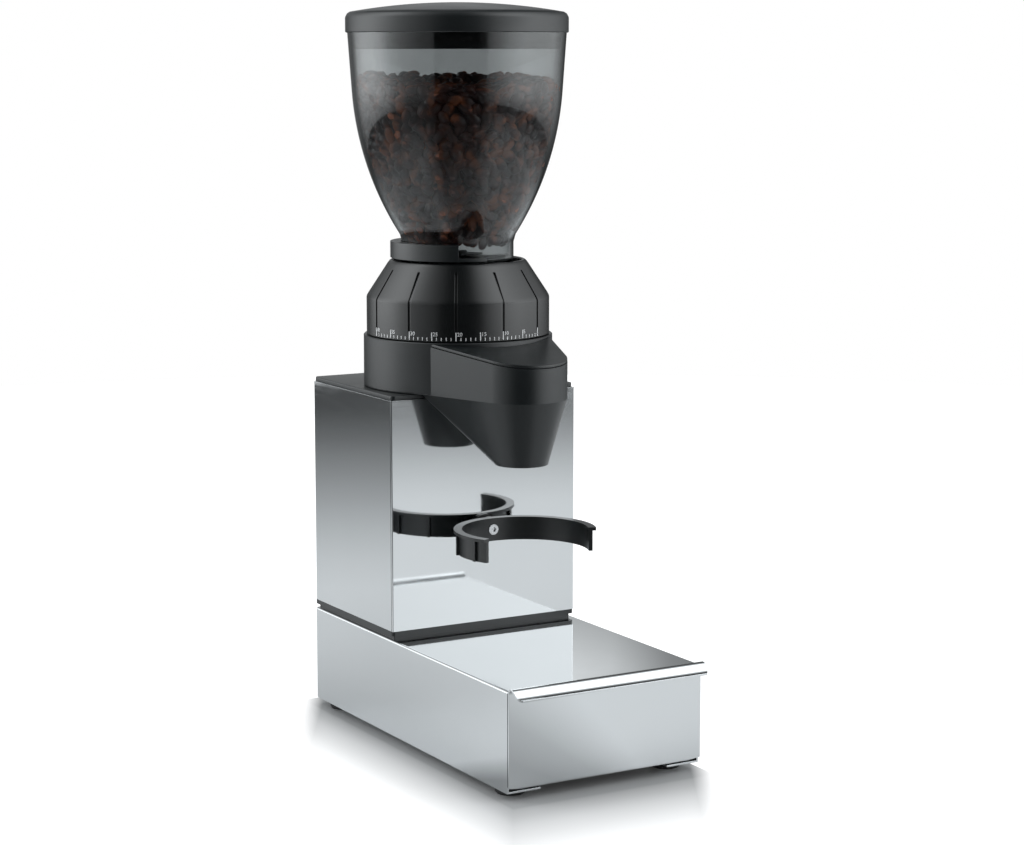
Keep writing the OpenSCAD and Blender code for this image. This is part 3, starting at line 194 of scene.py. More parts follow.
# Painted shade in the table's glow, standing in for the base's dark reflection: it is swept from the base
# towards the camera and fades within a hand's breadth
HALF_X, HALF_Y = 0.0716, 0.1436
PULL_X, PULL_Y = 0.4946, 0.8562
SIDE_FADE = 30.0
LENGTH_SCALE, LENGTH_START = 5.0, 0.1
enter = reckon(tree, "MAXIMUM", slab(tree, table_x, HALF_X, PULL_X, -1), slab(tree, table_y, HALF_Y, PULL_Y, -1))
leave = reckon(tree, "MINIMUM", slab(tree, table_x, HALF_X, PULL_X, 1), slab(tree, table_y, HALF_Y, PULL_Y, 1))
inside = reckon(tree, "MULTIPLY", reckon(tree, "SUBTRACT", leave, enter), SIDE_FADE)
inside = reckon(tree, "MINIMUM", reckon(tree, "MAXIMUM", inside, 0.0), reckon(tree, "GREATER_THAN", leave, 0.0))
light = ramp(tree, reckon(tree, "MULTIPLY_ADD", enter, LENGTH_SCALE, LENGTH_START),
             [(0.0, 0.02), (0.09, 0.03), (0.11, 0.10), (0.18, 0.17), (0.275, 0.32), (0.375, 0.45),
              (0.475, 0.60), (0.575, 0.75), (0.72, 0.95)])
# Painted shadow: the glow is lowered by this much inside the strip swept from the base
shadow = reckon(tree, "MULTIPLY", reckon(tree, "MINIMUM", inside, 1.0),
                reckon(tree, "SUBTRACT", TABLE_GLOW, light))
tree.links.new(reckon(tree, "SUBTRACT", TABLE_GLOW, shadow), bsdf.inputs["Emission Color"])
bsdf.inputs["Emission Strength"].default_value = 1.0
# What polished steel mirrors, with painted light and shade in the table's colour: it darkens outwards as a
# painted falloff, has a painted shade in a wedge towards the camera, and is painted pale in front of the two
# boxes
PAINTED_BOX_LIGHT = [(-180, 0.26), (-156, 0.24), (-140, 0.0), (-92, 0.0), (-80, 0.16), (-50, 0.22), (-10, 0.24),
         (14, 0.06), (112, 0.0), (134, 0.20), (160, 0.26), (180, 0.26)]
TONE_CENTRE, TONE_REACH = (0.08, -0.13, 0), 2.0
WEDGE_Y = -0.03
far = node(tree, "ShaderNodeVectorMath", operation="DISTANCE")
far.inputs[1].default_value = TONE_CENTRE
tree.links.new(place.outputs["Object"], far.inputs[0])
reach = reckon(tree, "DIVIDE", far.outputs["Value"], TONE_REACH)
turn = heading(tree, table_x, reckon(tree, "SUBTRACT", table_y, WEDGE_Y))
painted_wedge_shade = ramp(tree, turn, [(0.02, 0.0), (0.095, 1.0), (0.225, 1.0), (0.262, 0.7), (0.30, 0.0)])
depth = ramp(tree, reach, [(0.0, 0.45), (0.15, 0.62), (0.30, 0.9)])
kept = reckon(tree, "SUBTRACT", 1.0, reckon(tree, "MULTIPLY", painted_wedge_shade, depth))
# Painted falloff of light: the table's colour darkens with distance from the base
tone = ramp(tree, reach, [(0.0, 0.80), (0.33, 0.74), (0.39, 0.66), (0.54, 0.40), (0.615, 0.30), (0.73, 0.17),
                          (0.84, 0.09), (1.0, 0.05)])
# Painted light in front of the two boxes
painted_box_light = ramp(tree, turn, by_compass(PAINTED_BOX_LIGHT))
pale = reckon(tree, "MULTIPLY", reckon(tree, "MAXIMUM", tone, painted_box_light), kept)
matt = node(tree, "ShaderNodeBsdfDiffuse")
tree.links.new(cast(tree, pale, (0.985, 1.0, 1.01)), matt.inputs["Color"])
choice = node(tree, "ShaderNodeMixShader")
tree.links.new(direct(tree), choice.inputs[0])
tree.links.new(matt.outputs[0], choice.inputs[1])
tree.links.new(bsdf.outputs[0], choice.inputs[2])
tree.links.new(choice.outputs[0], tree.nodes["Material Output"].inputs["Surface"])
floor.data.materials.append(mat)

# ---------- Finishes that several pieces share ----------
# Polished stainless sheet with faint wiping marks, moulded plastics with a fine
# spark-eroded grain, bright turned steel, brass and rubber.


def effect(name, inputs, outputs):
    """An empty node group with named sockets."""
    group = bpy.data.node_groups.new(name, "ShaderNodeTree")
    for title, value in inputs.items():
        socket = group.interface.new_socket(title, in_out="INPUT", socket_type="NodeSocketFloat")
        socket.default_value = value
    for title in outputs:
        group.interface.new_socket(title, in_out="OUTPUT", socket_type="NodeSocketFloat")
    return group, group.nodes.new("NodeGroupInput"), group.nodes.new("NodeGroupOutput")


# Moulded grain: a fine pebble height and a slow tone that shifts the gloss
grain, g_in, g_out = effect("Moulded grain", {"Size": 1800.0, "Patches": 22.0}, ["Height", "Tone"])
spot = node(grain, "ShaderNodeTexCoord")
pebble = node(grain, "ShaderNodeTexNoise", Detail=3.0, Roughness=0.6)
patch = node(grain, "ShaderNodeTexNoise", Detail=2.0)
grain.links.new(spot.outputs["Object"], pebble.inputs["Vector"])
grain.links.new(spot.outputs["Object"], patch.inputs["Vector"])
grain.links.new(g_in.outputs["Size"], pebble.inputs["Scale"])
grain.links.new(g_in.outputs["Patches"], patch.inputs["Scale"])
grain.links.new(pebble.outputs["Fac"], g_out.inputs["Height"])
grain.links.new(patch.outputs["Fac"], g_out.inputs["Tone"])

# Wiping marks: long faint streaks and cloudy patches left by a cloth
wiping, w_in, w_out = effect("Wiping marks", {"Streaks": 30.0, "Clouds": 14.0}, ["Streak", "Cloud"])
spot = node(wiping, "ShaderNodeTexCoord")
turn = node(wiping, "ShaderNodeMapping")
turn.inputs["Rotation"].default_value = (0.3, 0.5, 0.4)
turn.inputs["Scale"].default_value = (1, 1, 14)
streak = node(wiping, "ShaderNodeTexNoise", Detail=4.0, Roughness=0.65)
cloud = node(wiping, "ShaderNodeTexNoise", Detail=3.0)
wiping.links.new(spot.outputs["Object"], turn.inputs["Vector"])
wiping.links.new(turn.outputs["Vector"], streak.inputs["Vector"])
wiping.links.new(spot.outputs["Object"], cloud.inputs["Vector"])
wiping.links.new(w_in.outputs["Streaks"], streak.inputs["Scale"])
wiping.links.new(w_in.outputs["Clouds"], cloud.inputs["Scale"])
wiping.links.new(streak.outputs["Fac"], w_out.inputs["Streak"])
wiping.links.new(cloud.outputs["Fac"], w_out.inputs["Cloud"])


def place_effect(tree, group, **values):
    n = tree.nodes.new("ShaderNodeGroup")
    n.node_tree = group
    for key, value in values.items():
        n.inputs[key].default_value = value
    return n


def between(tree, source, low, high):
    """Maps the middle part of a noise's values into a range."""
    n = node(tree, "ShaderNodeMapRange")
    n.inputs["From Min"].default_value = 0.3
    n.inputs["From Max"].default_value = 0.7
    n.inputs["To Min"].default_value = low
    n.inputs["To Max"].default_value = high
    tree.links.new(source, n.inputs["Value"])
    return n.outputs["Result"]


def tint(tree, source, first, second):
    n = node(tree, "ShaderNodeMix", data_type="RGBA")
    n.inputs["A"].default_value = (*first, 1)
    n.inputs["B"].default_value = (*second, 1)
    tree.links.new(source, n.inputs["Factor"])
    return n.outputs["Result"]


def steel(name, first, second, rough, depth, streaks=30.0):
    mat, tree, bsdf = shade(name)
    marks = place_effect(tree, wiping, Streaks=streaks)
    bsdf.inputs["Metallic"].default_value = 1.0
    tree.links.new(tint(tree, marks.outputs["Cloud"], first, second), bsdf.inputs["Base Color"])
    tree.links.new(between(tree, marks.outputs["Streak"], *rough), bsdf.inputs["Roughness"])
    bump = node(tree, "ShaderNodeBump", Strength=0.06, Distance=depth)
    tree.links.new(marks.outputs["Streak"], bump.inputs["Height"])
    tree.links.new(bump.outputs["Normal"], bsdf.inputs["Normal"])
    return mat


def plastic(name, first, second, rough, size=1800.0, depth=0.00004):
    mat, tree, bsdf = shade(name)
    surface = place_effect(tree, grain, Size=size)
    tree.links.new(tint(tree, surface.outputs["Tone"], first, second), bsdf.inputs["Base Color"])
    tree.links.new(between(tree, surface.outputs["Tone"], *rough), bsdf.inputs["Roughness"])
    bump = node(tree, "ShaderNodeBump", Strength=0.35, Distance=depth)
    tree.links.new(surface.outputs["Height"], bump.inputs["Height"])
    tree.links.new(bump.outputs["Normal"], bsdf.inputs["Normal"])
    return mat


polished = steel("polished_steel", (0.66, 0.68, 0.69), (0.70, 0.715, 0.725), (0.035, 0.075), 0.00001)
turned = steel("turned_steel", (0.50, 0.51, 0.52), (0.60, 0.61, 0.62), (0.18, 0.30), 0.00005, 120.0)
ground = steel("ground_steel", (0.42, 0.43, 0.44), (0.50, 0.51, 0.52), (0.22, 0.34), 0.00005, 160.0)
brass = steel("machined_brass", (0.60, 0.45, 0.20), (0.68, 0.52, 0.25), (0.2, 0.32), 0.00005, 90.0)
alloy = steel("cast_alloy", (0.46, 0.47, 0.48), (0.52, 0.53, 0.54), (0.4, 0.55), 0.0001, 300.0)
housing_grey = plastic("housing_grey", (0.0065, 0.0085, 0.0095), (0.0085, 0.011, 0.012), (0.30, 0.37))
lid_grey = plastic("lid_grey", (0.0065, 0.0085, 0.0095), (0.0085, 0.011, 0.012), (0.31, 0.38))
collar_black = plastic("collar_black", (0.003, 0.004, 0.0045), (0.0045, 0.0055, 0.006), (0.22, 0.28))
fork_black = plastic("fork_black", (0.006, 0.0075, 0.008), (0.008, 0.0095, 0.0105), (0.28, 0.35))
black = plastic("black_moulding", (0.006, 0.006, 0.0065), (0.008, 0.008, 0.0085), (0.32, 0.42))
rubber = plastic("black_rubber", (0.012, 0.012, 0.013), (0.018, 0.018, 0.018), (0.62, 0.75), 900.0, 0.00008)
laminate = plastic("board_laminate", (0.012, 0.07, 0.025), (0.016, 0.09, 0.032), (0.3, 0.4))
ferrite = plastic("ferrite", (0.02, 0.02, 0.022), (0.03, 0.03, 0.03), (0.6, 0.7))

# ---------- Working steps used for every piece ----------
# Each piece starts from one primitive or from a merged copy of its model solid,
# is shaped by edit operators, and gets its edges rounded before it is seated.

HAIR = 1e-6
ROUND_STEPS = 160


def alone(ob):
    bpy.ops.object.select_all(action="DESELECT")
    ob.select_set(True)
    bpy.context.view_layer.objects.active = ob


def open_up(ob, mode="FACE"):
    alone(ob)
    bpy.ops.object.mode_set(mode="EDIT")
    bpy.ops.mesh.select_mode(type=mode)
    bpy.ops.mesh.select_all(action="DESELECT")


def close_up():
    bpy.ops.object.mode_set(mode="OBJECT")


def face_outwards():
    """Turns every face's front outwards and ends the edit."""
    bpy.ops.mesh.select_all(action="SELECT")
    bpy.ops.mesh.normals_make_consistent(inside=False)
    close_up()


def draw(x, y, z):
    """Draws what is picked out by a distance."""
    bpy.ops.mesh.extrude_region_move(TRANSFORM_OT_translate={"value": (x, y, z)})


def newest(name):
    """The piece just added, under its name."""
    ob = bpy.context.object
    ob.name = ob.data.name = name
    return ob


def pick_faces(ob, test):
    mesh = bmesh.from_edit_mesh(ob.data)
    for face in mesh.faces:
        face.select_set(bool(test(face.calc_center_median(), face.normal)))
    bmesh.update_edit_mesh(ob.data)


def pick_edges(ob, test):
    mesh = bmesh.from_edit_mesh(ob.data)
    for edge in mesh.edges:
        edge.select_set(bool(test(edge.verts[0].co, edge.verts[1].co)))
    bmesh.update_edit_mesh(ob.data)


def pick_rims(ob):
    """Picks the edges that belong to one face only."""
    bpy.ops.mesh.select_all(action="DESELECT")
    mesh = bmesh.from_edit_mesh(ob.data)
    for edge in mesh.edges:
        edge.select_set(edge.is_boundary)
    bmesh.update_edit_mesh(ob.data)


def upright(a, b):
    """Whether an edge between two points stands upright."""
    return abs(a.x - b.x) < HAIR and abs(a.y - b.y) < HAIR


def settle(ob):
    """Takes the piece's place, turn and size into its mesh."""
    alone(ob)
    bpy.ops.object.transform_apply(location=True, rotation=True, scale=True)


def modify(ob, kind, **values):
    alone(ob)
    mod = ob.modifiers.new(kind.lower(), kind)
    for key, value in values.items():
        setattr(mod, key, value)
    bpy.ops.object.modifier_apply(modifier=mod.name)


def soften(ob, width, segments=2, limit=35.0):
    """Rounds every edge sharper than the limit and evens out the flat faces' normals."""
    modify(ob, "BEVEL", width=width, segments=segments, limit_method="ANGLE",
           angle_limit=math.radians(limit), use_clamp_overlap=True, miter_outer="MITER_ARC")
    alone(ob)
    bpy.ops.object.shade_smooth_by_angle(angle=math.radians(limit))
    modify(ob, "WEIGHTED_NORMAL", keep_sharp=True, weight=80)


def block(name, low, high):
    """A cube primitive between two corners."""
    low, high = Vector(low), Vector(high)
    bpy.ops.mesh.primitive_cube_add(size=1, location=(low + high) / 2)
    ob = newest(name)
    ob.scale = high - low
    settle(ob)
    return ob


def seat(ob, body, slot, material, *replaced):
    """Puts the finished piece on its body with its finish."""
    ob.data.materials.clear()
    ob.data.materials.append(material)
    settle(ob)
    if replaced:
        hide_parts(*replaced)
    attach(ob, body)


def recast(part, name, width, limit=35.0, segments=2):
    """A merged copy of a model solid, with its flat faces rejoined and its edges rounded."""
    source = nodes[part]
    mesh = source.data.copy()
    mesh.transform(source.matrix_world)
    mesh.materials.clear()
    ob = bpy.data.objects.new(name, mesh)
    bpy.context.scene.collection.objects.link(ob)
    open_up(ob, "VERT")
    bpy.ops.mesh.select_all(action="SELECT")
    bpy.ops.mesh.remove_doubles(threshold=0.004 * MM)
    bpy.ops.mesh.dissolve_limited(angle_limit=math.radians(0.4))
    close_up()
    soften(ob, width, segments, limit)
    return ob


def ring_up(name, profile, steps, centre, closed=False):
    """A turned piece: a circle is drawn up through the profile's radii and heights."""
    r, z = profile[0]
    bpy.ops.mesh.primitive_circle_add(vertices=steps, radius=r, location=(centre[0], centre[1], z))
    ob = newest(name)
    settle(ob)
    open_up(ob, "EDGE")
    bpy.ops.mesh.select_all(action="SELECT")
    for r1, z1 in profile[1:]:
        draw(0, 0, z1 - z)
        if r1 == 0:
            bpy.ops.mesh.merge(type="CENTER")
        elif abs(r1 - r) > 1e-9:
            k = r1 / r
            bpy.ops.transform.resize(value=(k, k, 1), center_override=(centre[0], centre[1], z1))
        r, z = r1, z1
    if closed:
        pick_rims(ob)
        bpy.ops.mesh.bridge_edge_loops()
    face_outwards()
    return ob


def drawn(name, corners, move):
    """A filled circle whose rim is moved onto the corners and drawn along the move."""
    bpy.ops.mesh.primitive_circle_add(vertices=len(corners), radius=0.01, fill_type="NGON", location=(0, 0, 0))
    ob = newest(name)
    for v, corner in zip(ob.data.vertices, corners):
        v.co = corner
    open_up(ob)
    bpy.ops.mesh.select_all(action="SELECT")
    draw(*move)
    face_outwards()
    return ob


def cut_by(ob, tool, how="DIFFERENCE"):
    modify(ob, "BOOLEAN", object=tool, operation=how, solver="EXACT")
    bpy.data.objects.remove(tool)


def join(parts, name):
    bpy.ops.object.select_all(action="DESELECT")
    for part in parts:
        part.select_set(True)
    bpy.context.view_layer.objects.active = parts[0]
    bpy.ops.object.join()
    return newest(name)


# ---------- Base casing ----------
# Folded 1.2 mm polished stainless sheet: top, two sides and back in one piece,
# with flanges folded in under it and its front left open for the drawer.

SHEET = 1.2 * MM
FRONT, BACK = -130.437 * MM, 130.563 * MM
CASE_W, CASE_Z, DECK = 136 * MM, 5 * MM, 67.5 * MM
FLANGE, CORNER, BEND = 23 * MM, 3 * MM, 1.5 * MM

casing = block("casing_shell", (-CASE_W / 2, FRONT, CASE_Z), (CASE_W / 2, BACK, DECK))
open_up(casing)
pick_faces(casing, lambda c, n: n.y < -0.9)
bpy.ops.mesh.delete(type="FACE")
for side in (-1, 1):
    pick_faces(casing, lambda c, n: n.z < -0.9)
    bpy.ops.mesh.bisect(plane_co=(side * (CASE_W / 2 - FLANGE), 0, 0), plane_no=(1, 0, 0))
pick_faces(casing, lambda c, n: n.z < -0.9)
bpy.ops.mesh.bisect(plane_co=(0, BACK - FLANGE, 0), plane_no=(0, 1, 0))
pick_faces(casing, lambda c, n: n.z < -0.9 and abs(c.x) < CASE_W / 2 - FLANGE and c.y < BACK - FLANGE)
bpy.ops.mesh.delete(type="FACE")
bpy.ops.mesh.select_mode(type="EDGE")
pick_edges(casing, lambda a, b: upright(a, b) and a.y > BACK - 0.1 * MM)
bpy.ops.mesh.bevel(offset=CORNER, segments=5)
pick_edges(casing, lambda a, b: min(a.z, b.z) > DECK - 0.01 * MM
           and (abs(abs(a.x) - CASE_W / 2) < CORNER + 0.1 * MM or min(a.y, b.y) > BACK - CORNER - 0.1 * MM)
           and (abs(a.x - b.x) < HAIR or min(a.y, b.y) > BACK - CORNER - 0.2 * MM))
bpy.ops.mesh.bevel(offset=BEND, segments=4)
close_up()
modify(casing, "SOLIDIFY", thickness=SHEET, offset=-1, use_even_offset=True)
soften(casing, 0.12 * MM, 1, 60)
seat(casing, "grinder_body", "polished_steel", polished, "base_casing")

# ---------- Drawer front with its grip lip ----------
# One polished sheet: a short foot folded back under the tray, the upright panel,
# and at the top an S-shaped lip rolled over, down and out to pull the drawer by.

PANEL_Y = -132.337 * MM + SHEET / 2
LIP_Z = 66 * MM
PANEL_FOOT = 7.6 * MM
FOLD_R, SLOPE, TIP_R = 3.2, 4.0, 5.0
FOLD_STEPS, TIP_STEPS = 12, 6
# The sheet's middle line in millimetres, forward from the panel and up from the table.
# A plane's front edge is set at its start and drawn along it.
foot_up = PANEL_FOOT / MM + 0.6
path = [(-3.6, foot_up), (-0.6, foot_up), (0, PANEL_FOOT / MM + 1.3), (0, LIP_Z / MM)]
for step in range(1, FOLD_STEPS + 1):
    a = math.radians(180 - 135 * step / FOLD_STEPS)
    path.append((FOLD_R + FOLD_R * math.cos(a), LIP_Z / MM + FOLD_R * math.sin(a)))
slant = math.pi / 4
down = (path[-1][0] + SLOPE * math.cos(slant), path[-1][1] - SLOPE * math.sin(slant))
path.append(down)
turn_at = (down[0] + TIP_R * math.cos(slant), down[1] + TIP_R * math.sin(slant))
for step in range(1, TIP_STEPS + 1):
    a = math.radians(225 + 45 * step / TIP_STEPS)
    path.append((turn_at[0] + TIP_R * math.cos(a), turn_at[1] + TIP_R * math.sin(a)))
bpy.ops.mesh.primitive_plane_add(size=1)
lip = newest("drawer_front_sheet")
open_up(lip, "EDGE")
pick_edges(lip, lambda a, b: a.y < -0.4 and b.y < -0.4)
bpy.ops.mesh.select_all(action="INVERT")
bpy.ops.mesh.delete(type="EDGE")
bpy.ops.mesh.select_all(action="SELECT")
bpy.ops.transform.resize(value=(CASE_W, 1, 1), center_override=(0, 0, 0))
bpy.ops.transform.translate(value=(0, PANEL_Y - path[0][0] * MM + 0.5, path[0][1] * MM))
for (out0, up0), (out1, up1) in zip(path, path[1:]):
    draw(0, (out0 - out1) * MM, (up1 - up0) * MM)
# The lip's ends are cut round towards its tip, and its foot is narrower than the panel
LIP_FROM = PANEL_Y - 5 * MM
LIP_TIP = PANEL_Y - path[-1][0] * MM
LIP_CUT = 3 * MM
FOOT_SHARE = 0.88
mesh = bmesh.from_edit_mesh(lip.data)
for v in mesh.verts:
    if v.co.y < LIP_FROM:
        v.co.x -= math.copysign(LIP_CUT * ((LIP_FROM - v.co.y) / (LIP_FROM - LIP_TIP)) ** 2, v.co.x)
    if v.co.y > PANEL_Y + 0.3 * MM:
        v.co.x *= FOOT_SHARE
bmesh.update_edit_mesh(lip.data)
face_outwards()
modify(lip, "SOLIDIFY", thickness=SHEET, offset=0, use_even_offset=True)
soften(lip, 0.15 * MM, 2, 50)
seat(lip, "drawer", "polished_steel", polished, "drawer_front")

# ---------- Tower: plinth, steel walls, front panel and top plate ----------
# A dark moulded plinth with a shadow gap carries a polished steel wrap, a
# separate polished front panel, and a dark moulded plate on top.

TOWER_W, TOWER_Y, TOWER_BACK = 135 * MM, 17.0634 * MM, 130.563 * MM
PLATE_Z, STEEL_Z, TOP_Z, HEAD_Z = 70 * MM, 72.8 * MM, 221.6 * MM, 224.6 * MM
PLINTH_CORNER, SHADOW_GAP = 2 * MM, 2.5 * MM
PLATE_IN, PLATE_CORNER = 0.6 * MM, 3 * MM

plinth = block("tower_plinth_plate", (-TOWER_W / 2, TOWER_Y, PLATE_Z), (TOWER_W / 2, TOWER_BACK, STEEL_Z))
open_up(plinth, "EDGE")
pick_edges(plinth, upright)
bpy.ops.mesh.bevel(offset=PLINTH_CORNER, segments=4)
bpy.ops.mesh.select_mode(type="FACE")
pick_faces(plinth, lambda c, n: n.z < -0.9)
bpy.ops.mesh.inset(thickness=SHADOW_GAP)
draw(0, 0, DECK - PLATE_Z)
close_up()
soften(plinth, 0.3 * MM, 2, 50)
seat(plinth, "grinder_body", "dark_plastic", housing_grey, "tower_plinth")

wrap = recast("tower_wrap", "tower_wall_sheet", 0.15 * MM, 50, 1)
seat(wrap, "grinder_body", "polished_steel", polished, "tower_wrap")

panel = block("tower_panel_sheet", (-TOWER_W / 2, TOWER_Y, STEEL_Z), (TOWER_W / 2, TOWER_Y + SHEET, TOP_Z))
open_up(panel, "EDGE")
pick_edges(panel, lambda a, b: upright(a, b) and a.y < TOWER_Y + HAIR)
bpy.ops.mesh.bevel(offset=0.8 * MM, segments=4)
close_up()
modify(panel, "WEIGHTED_NORMAL", keep_sharp=True, weight=80)
soften(panel, 0.08 * MM, 1, 50)
seat(panel, "grinder_body", "polished_steel", polished, "tower_front_panel")

plate = block("tower_top_moulding", (-TOWER_W / 2 + PLATE_IN, TOWER_Y + PLATE_IN, TOP_Z),
              (TOWER_W / 2 - PLATE_IN, TOWER_BACK - PLATE_IN, HEAD_Z))
open_up(plate, "EDGE")
pick_edges(plate, upright)
bpy.ops.mesh.bevel(offset=PLATE_CORNER, segments=6)
close_up()
soften(plate, 0.6 * MM, 3, 50)
seat(plate, "grinder_body", "dark_plastic", housing_grey, "tower_top_plate")

# ---------- Head housing with its spout ----------
# One dark moulding: the round drum that holds the burrs, and a spout with flat
# flanks and a round nose, drawn in below to the nozzle over the portafilter.

HEAD_Y, SPOUT_Y = 52.0634 * MM, -30.4366 * MM
HEAD_R, NOSE_R, NOZZLE_R = 61.5 * MM, 28.6 * MM, 16.7 * MM
HEAD_H, NOZZLE_Z = 33.2 * MM, 183 * MM
EDGE_Z, TILT = HEAD_Z + 25.6 * MM, math.radians(7.5)
NOSE_STEPS = 56
FLANK_RUN = 8 * MM
FLANK = Vector((43.4871 * MM, 8.57628 * MM))
FLANK_DIR = math.radians(-108.794)
FLANK_V = Vector((math.cos(FLANK_DIR), math.sin(FLANK_DIR)))


def spout_plan(inset):
    """Plan of the spout: round nose and two flanks that run into the drum."""
    start = FLANK - FLANK_RUN * FLANK_V - inset * Vector((-FLANK_V.y, FLANK_V.x))
    a0 = FLANK_DIR + math.pi / 2
    a1 = -1.5 * math.pi - FLANK_DIR
    angles = [a0 + (a1 - a0) * i / NOSE_STEPS for i in range(NOSE_STEPS + 1)]
    nose = [((NOSE_R - inset) * math.cos(a), SPOUT_Y + (NOSE_R - inset) * math.sin(a)) for a in angles]
    return [(start.x, start.y)] + nose + [(-start.x, start.y)]


def prism(name, outline, low, high):
    """An upright block of the given plan between two heights."""
    return drawn(name, [(x, y, low) for x, y in outline], (0, 0, high - low))


def cylinder(steps, radius, depth, y, z):
    """A round tool or plug on the middle plane."""
    bpy.ops.mesh.primitive_cylinder_add(vertices=steps, radius=radius, depth=depth, location=(0, y, z))
    return bpy.context.object


def slice_off(ob, z, above):
    """Cuts along the spout's sloping edge, at height z over the nozzle's axis, and caps the cut."""
    open_up(ob)
    bpy.ops.mesh.select_all(action="SELECT")
    normal = (0, -math.sin(TILT), math.cos(TILT))
    bpy.ops.mesh.bisect(plane_co=(0, SPOUT_Y, z), plane_no=normal, use_fill=True,
                        clear_outer=above, clear_inner=not above)
    close_up()


DRUM_BORE = 44 * MM
drum = ring_up("head_drum", [
    (HEAD_R - 1.2 * MM, HEAD_Z), (HEAD_R - 0.2 * MM, HEAD_Z + 0.4 * MM), (HEAD_R, HEAD_Z + 1.4 * MM),
    (HEAD_R - 0.1 * MM, HEAD_Z + HEAD_H - 0.5 * MM), (HEAD_R - 0.6 * MM, HEAD_Z + HEAD_H),
    (DRUM_BORE, HEAD_Z + HEAD_H), (DRUM_BORE, HEAD_Z)], ROUND_STEPS, (0, HEAD_Y), closed=True)
spout = prism("spout_walls", spout_plan(0), HEAD_Z, HEAD_Z + HEAD_H - 0.5 * MM)
slice_off(spout, EDGE_Z - 0.15 * MM, True)
funnel = prism("spout_funnel", spout_plan(0.25 * MM), HEAD_Z - 0.01 * MM, HEAD_Z + 1 * MM)
open_up(funnel, "VERT")
cylinder(96, NOZZLE_R, 0.2 * MM, SPOUT_Y, NOZZLE_Z + 0.1 * MM)
bpy.ops.mesh.select_all(action="SELECT")
bpy.ops.mesh.convex_hull()
close_up()
cut_by(spout, funnel, "UNION")
cut_by(drum, spout, "UNION")
cut_by(drum, cylinder(64, NOZZLE_R - 2.2 * MM, 30 * MM, SPOUT_Y, NOZZLE_Z + 4 * MM))
soften(drum, 0.35 * MM, 2, 24)
seat(drum, "grinder_body", "dark_plastic", housing_grey, "head_housing")

spout_cap = prism("spout_cap", spout_plan(0.1 * MM), HEAD_Z + 5 * MM, HEAD_Z + HEAD_H + 4 * MM)
slice_off(spout_cap, EDGE_Z + 0.15 * MM, False)
slice_off(spout_cap, EDGE_Z + 2 * MM, True)
cut_by(spout_cap, cylinder(ROUND_STEPS, HEAD_R + 0.15 * MM, 100 * MM, HEAD_Y, HEAD_Z + 20 * MM))
soften(spout_cap, 0.4 * MM, 3, 40)
seat(spout_cap, "grinder_body", "dark_plastic", housing_grey, "spout_lid")

# ---------- Rocker switch ----------
# A black rocker in its own small frame, clipped into the spout's right flank.
# Both are black mouldings; the rocker tips on a pin inside the frame.

rocker_rim = recast("rocker_frame", "rocker_rim", 0.25 * MM)
seat(rocker_rim, "grinder_body", "black_plastic", black, "rocker_frame")
rocker = recast("rocker_button", "rocker", 0.3 * MM, 40, 3)
seat(rocker, "rocker", "black_plastic", black, "rocker_button")

# ---------- Adjusting collar and its dial ----------
# A satin black moulding that turns on the burr carrier's thread. Grip grooves run
# down its cone and band, and a white dial of forty steps is printed at its foot.

COLLAR_Z, CONE_Z, RIM_Z = 258.1 * MM, 283.6 * MM, 306.1 * MM
BAND_R, CREST_R = 59.4 * MM, 44.2 * MM
THREAD_R = 41.5 * MM
GROOVES, GROOVE_W = 12, 1.7 * MM
DIAL_ZERO, DIAL_STEP, DIAL_MARKS = -60, 3, 41
NUMBER_SIZE, NUMBER_SHIFT, NUMBER_UP, TICK_UP = 3.5 * MM, 0.6 * MM, 4.0 * MM, 1.0 * MM
PRINT_T = 0.05 * MM
collar = ring_up("collar_shell", [
    (THREAD_R + 2.2 * MM, COLLAR_Z + 8 * MM), (BAND_R - 2.5 * MM, COLLAR_Z + 8 * MM),
    (BAND_R - 2.5 * MM, COLLAR_Z), (BAND_R - 0.4 * MM, COLLAR_Z),
    (BAND_R, COLLAR_Z + 0.4 * MM), (BAND_R, CONE_Z - 2.0 * MM), (BAND_R - 0.25 * MM, CONE_Z - 0.8 * MM),
    (BAND_R - 1.2 * MM, CONE_Z + 0.9 * MM), (CREST_R + 1.3 * MM, RIM_Z - 2.2 * MM),
    (CREST_R + 0.1 * MM, RIM_Z - 0.7 * MM), (CREST_R - 0.9 * MM, RIM_Z),
    (THREAD_R + 0.5 * MM, RIM_Z), (THREAD_R, RIM_Z - 0.6 * MM),
    (THREAD_R, COLLAR_Z + 6 * MM), (THREAD_R + 2.2 * MM, COLLAR_Z + 6 * MM)],
    240, (0, HEAD_Y), closed=True)
# Radius and height of a groove's outline: its floor, then back clear of the collar
groove = [(58.3 * MM, COLLAR_Z + 5 * MM), (58.3 * MM, CONE_Z - 0.4 * MM), (46.4 * MM, RIM_Z - 6 * MM),
          (52 * MM, RIM_Z - 2 * MM), (64 * MM, CONE_Z + 4 * MM), (64 * MM, COLLAR_Z + 5 * MM)]
cutters = []
for i in range(GROOVES):
    tool = drawn("groove_tool", [(-GROOVE_W / 2, r, z) for r, z in groove], (GROOVE_W, 0, 0))
    angle = math.radians(DIAL_ZERO - 90 + 360 / GROOVES * i)
    tool.data.transform(Matrix.Rotation(angle, 4, "Z"))
    tool.data.transform(Matrix.Translation((0, HEAD_Y, 0)))
    cutters.append(tool)
cut_by(collar, join(cutters, "groove_tools"))
soften(collar, 0.22 * MM, 2, 32)
seat(collar, "collar", "dark_plastic", collar_black, "adjusting_collar")

white_print, tree, bsdf = shade("white_print")
fade = place_effect(tree, grain, Size=1400.0, Patches=60.0)
ink = tint(tree, fade.outputs["Tone"], (0.72, 0.73, 0.74), (0.80, 0.81, 0.82))
tree.links.new(ink, bsdf.inputs["Base Color"])
bsdf.inputs["Roughness"].default_value = 0.5


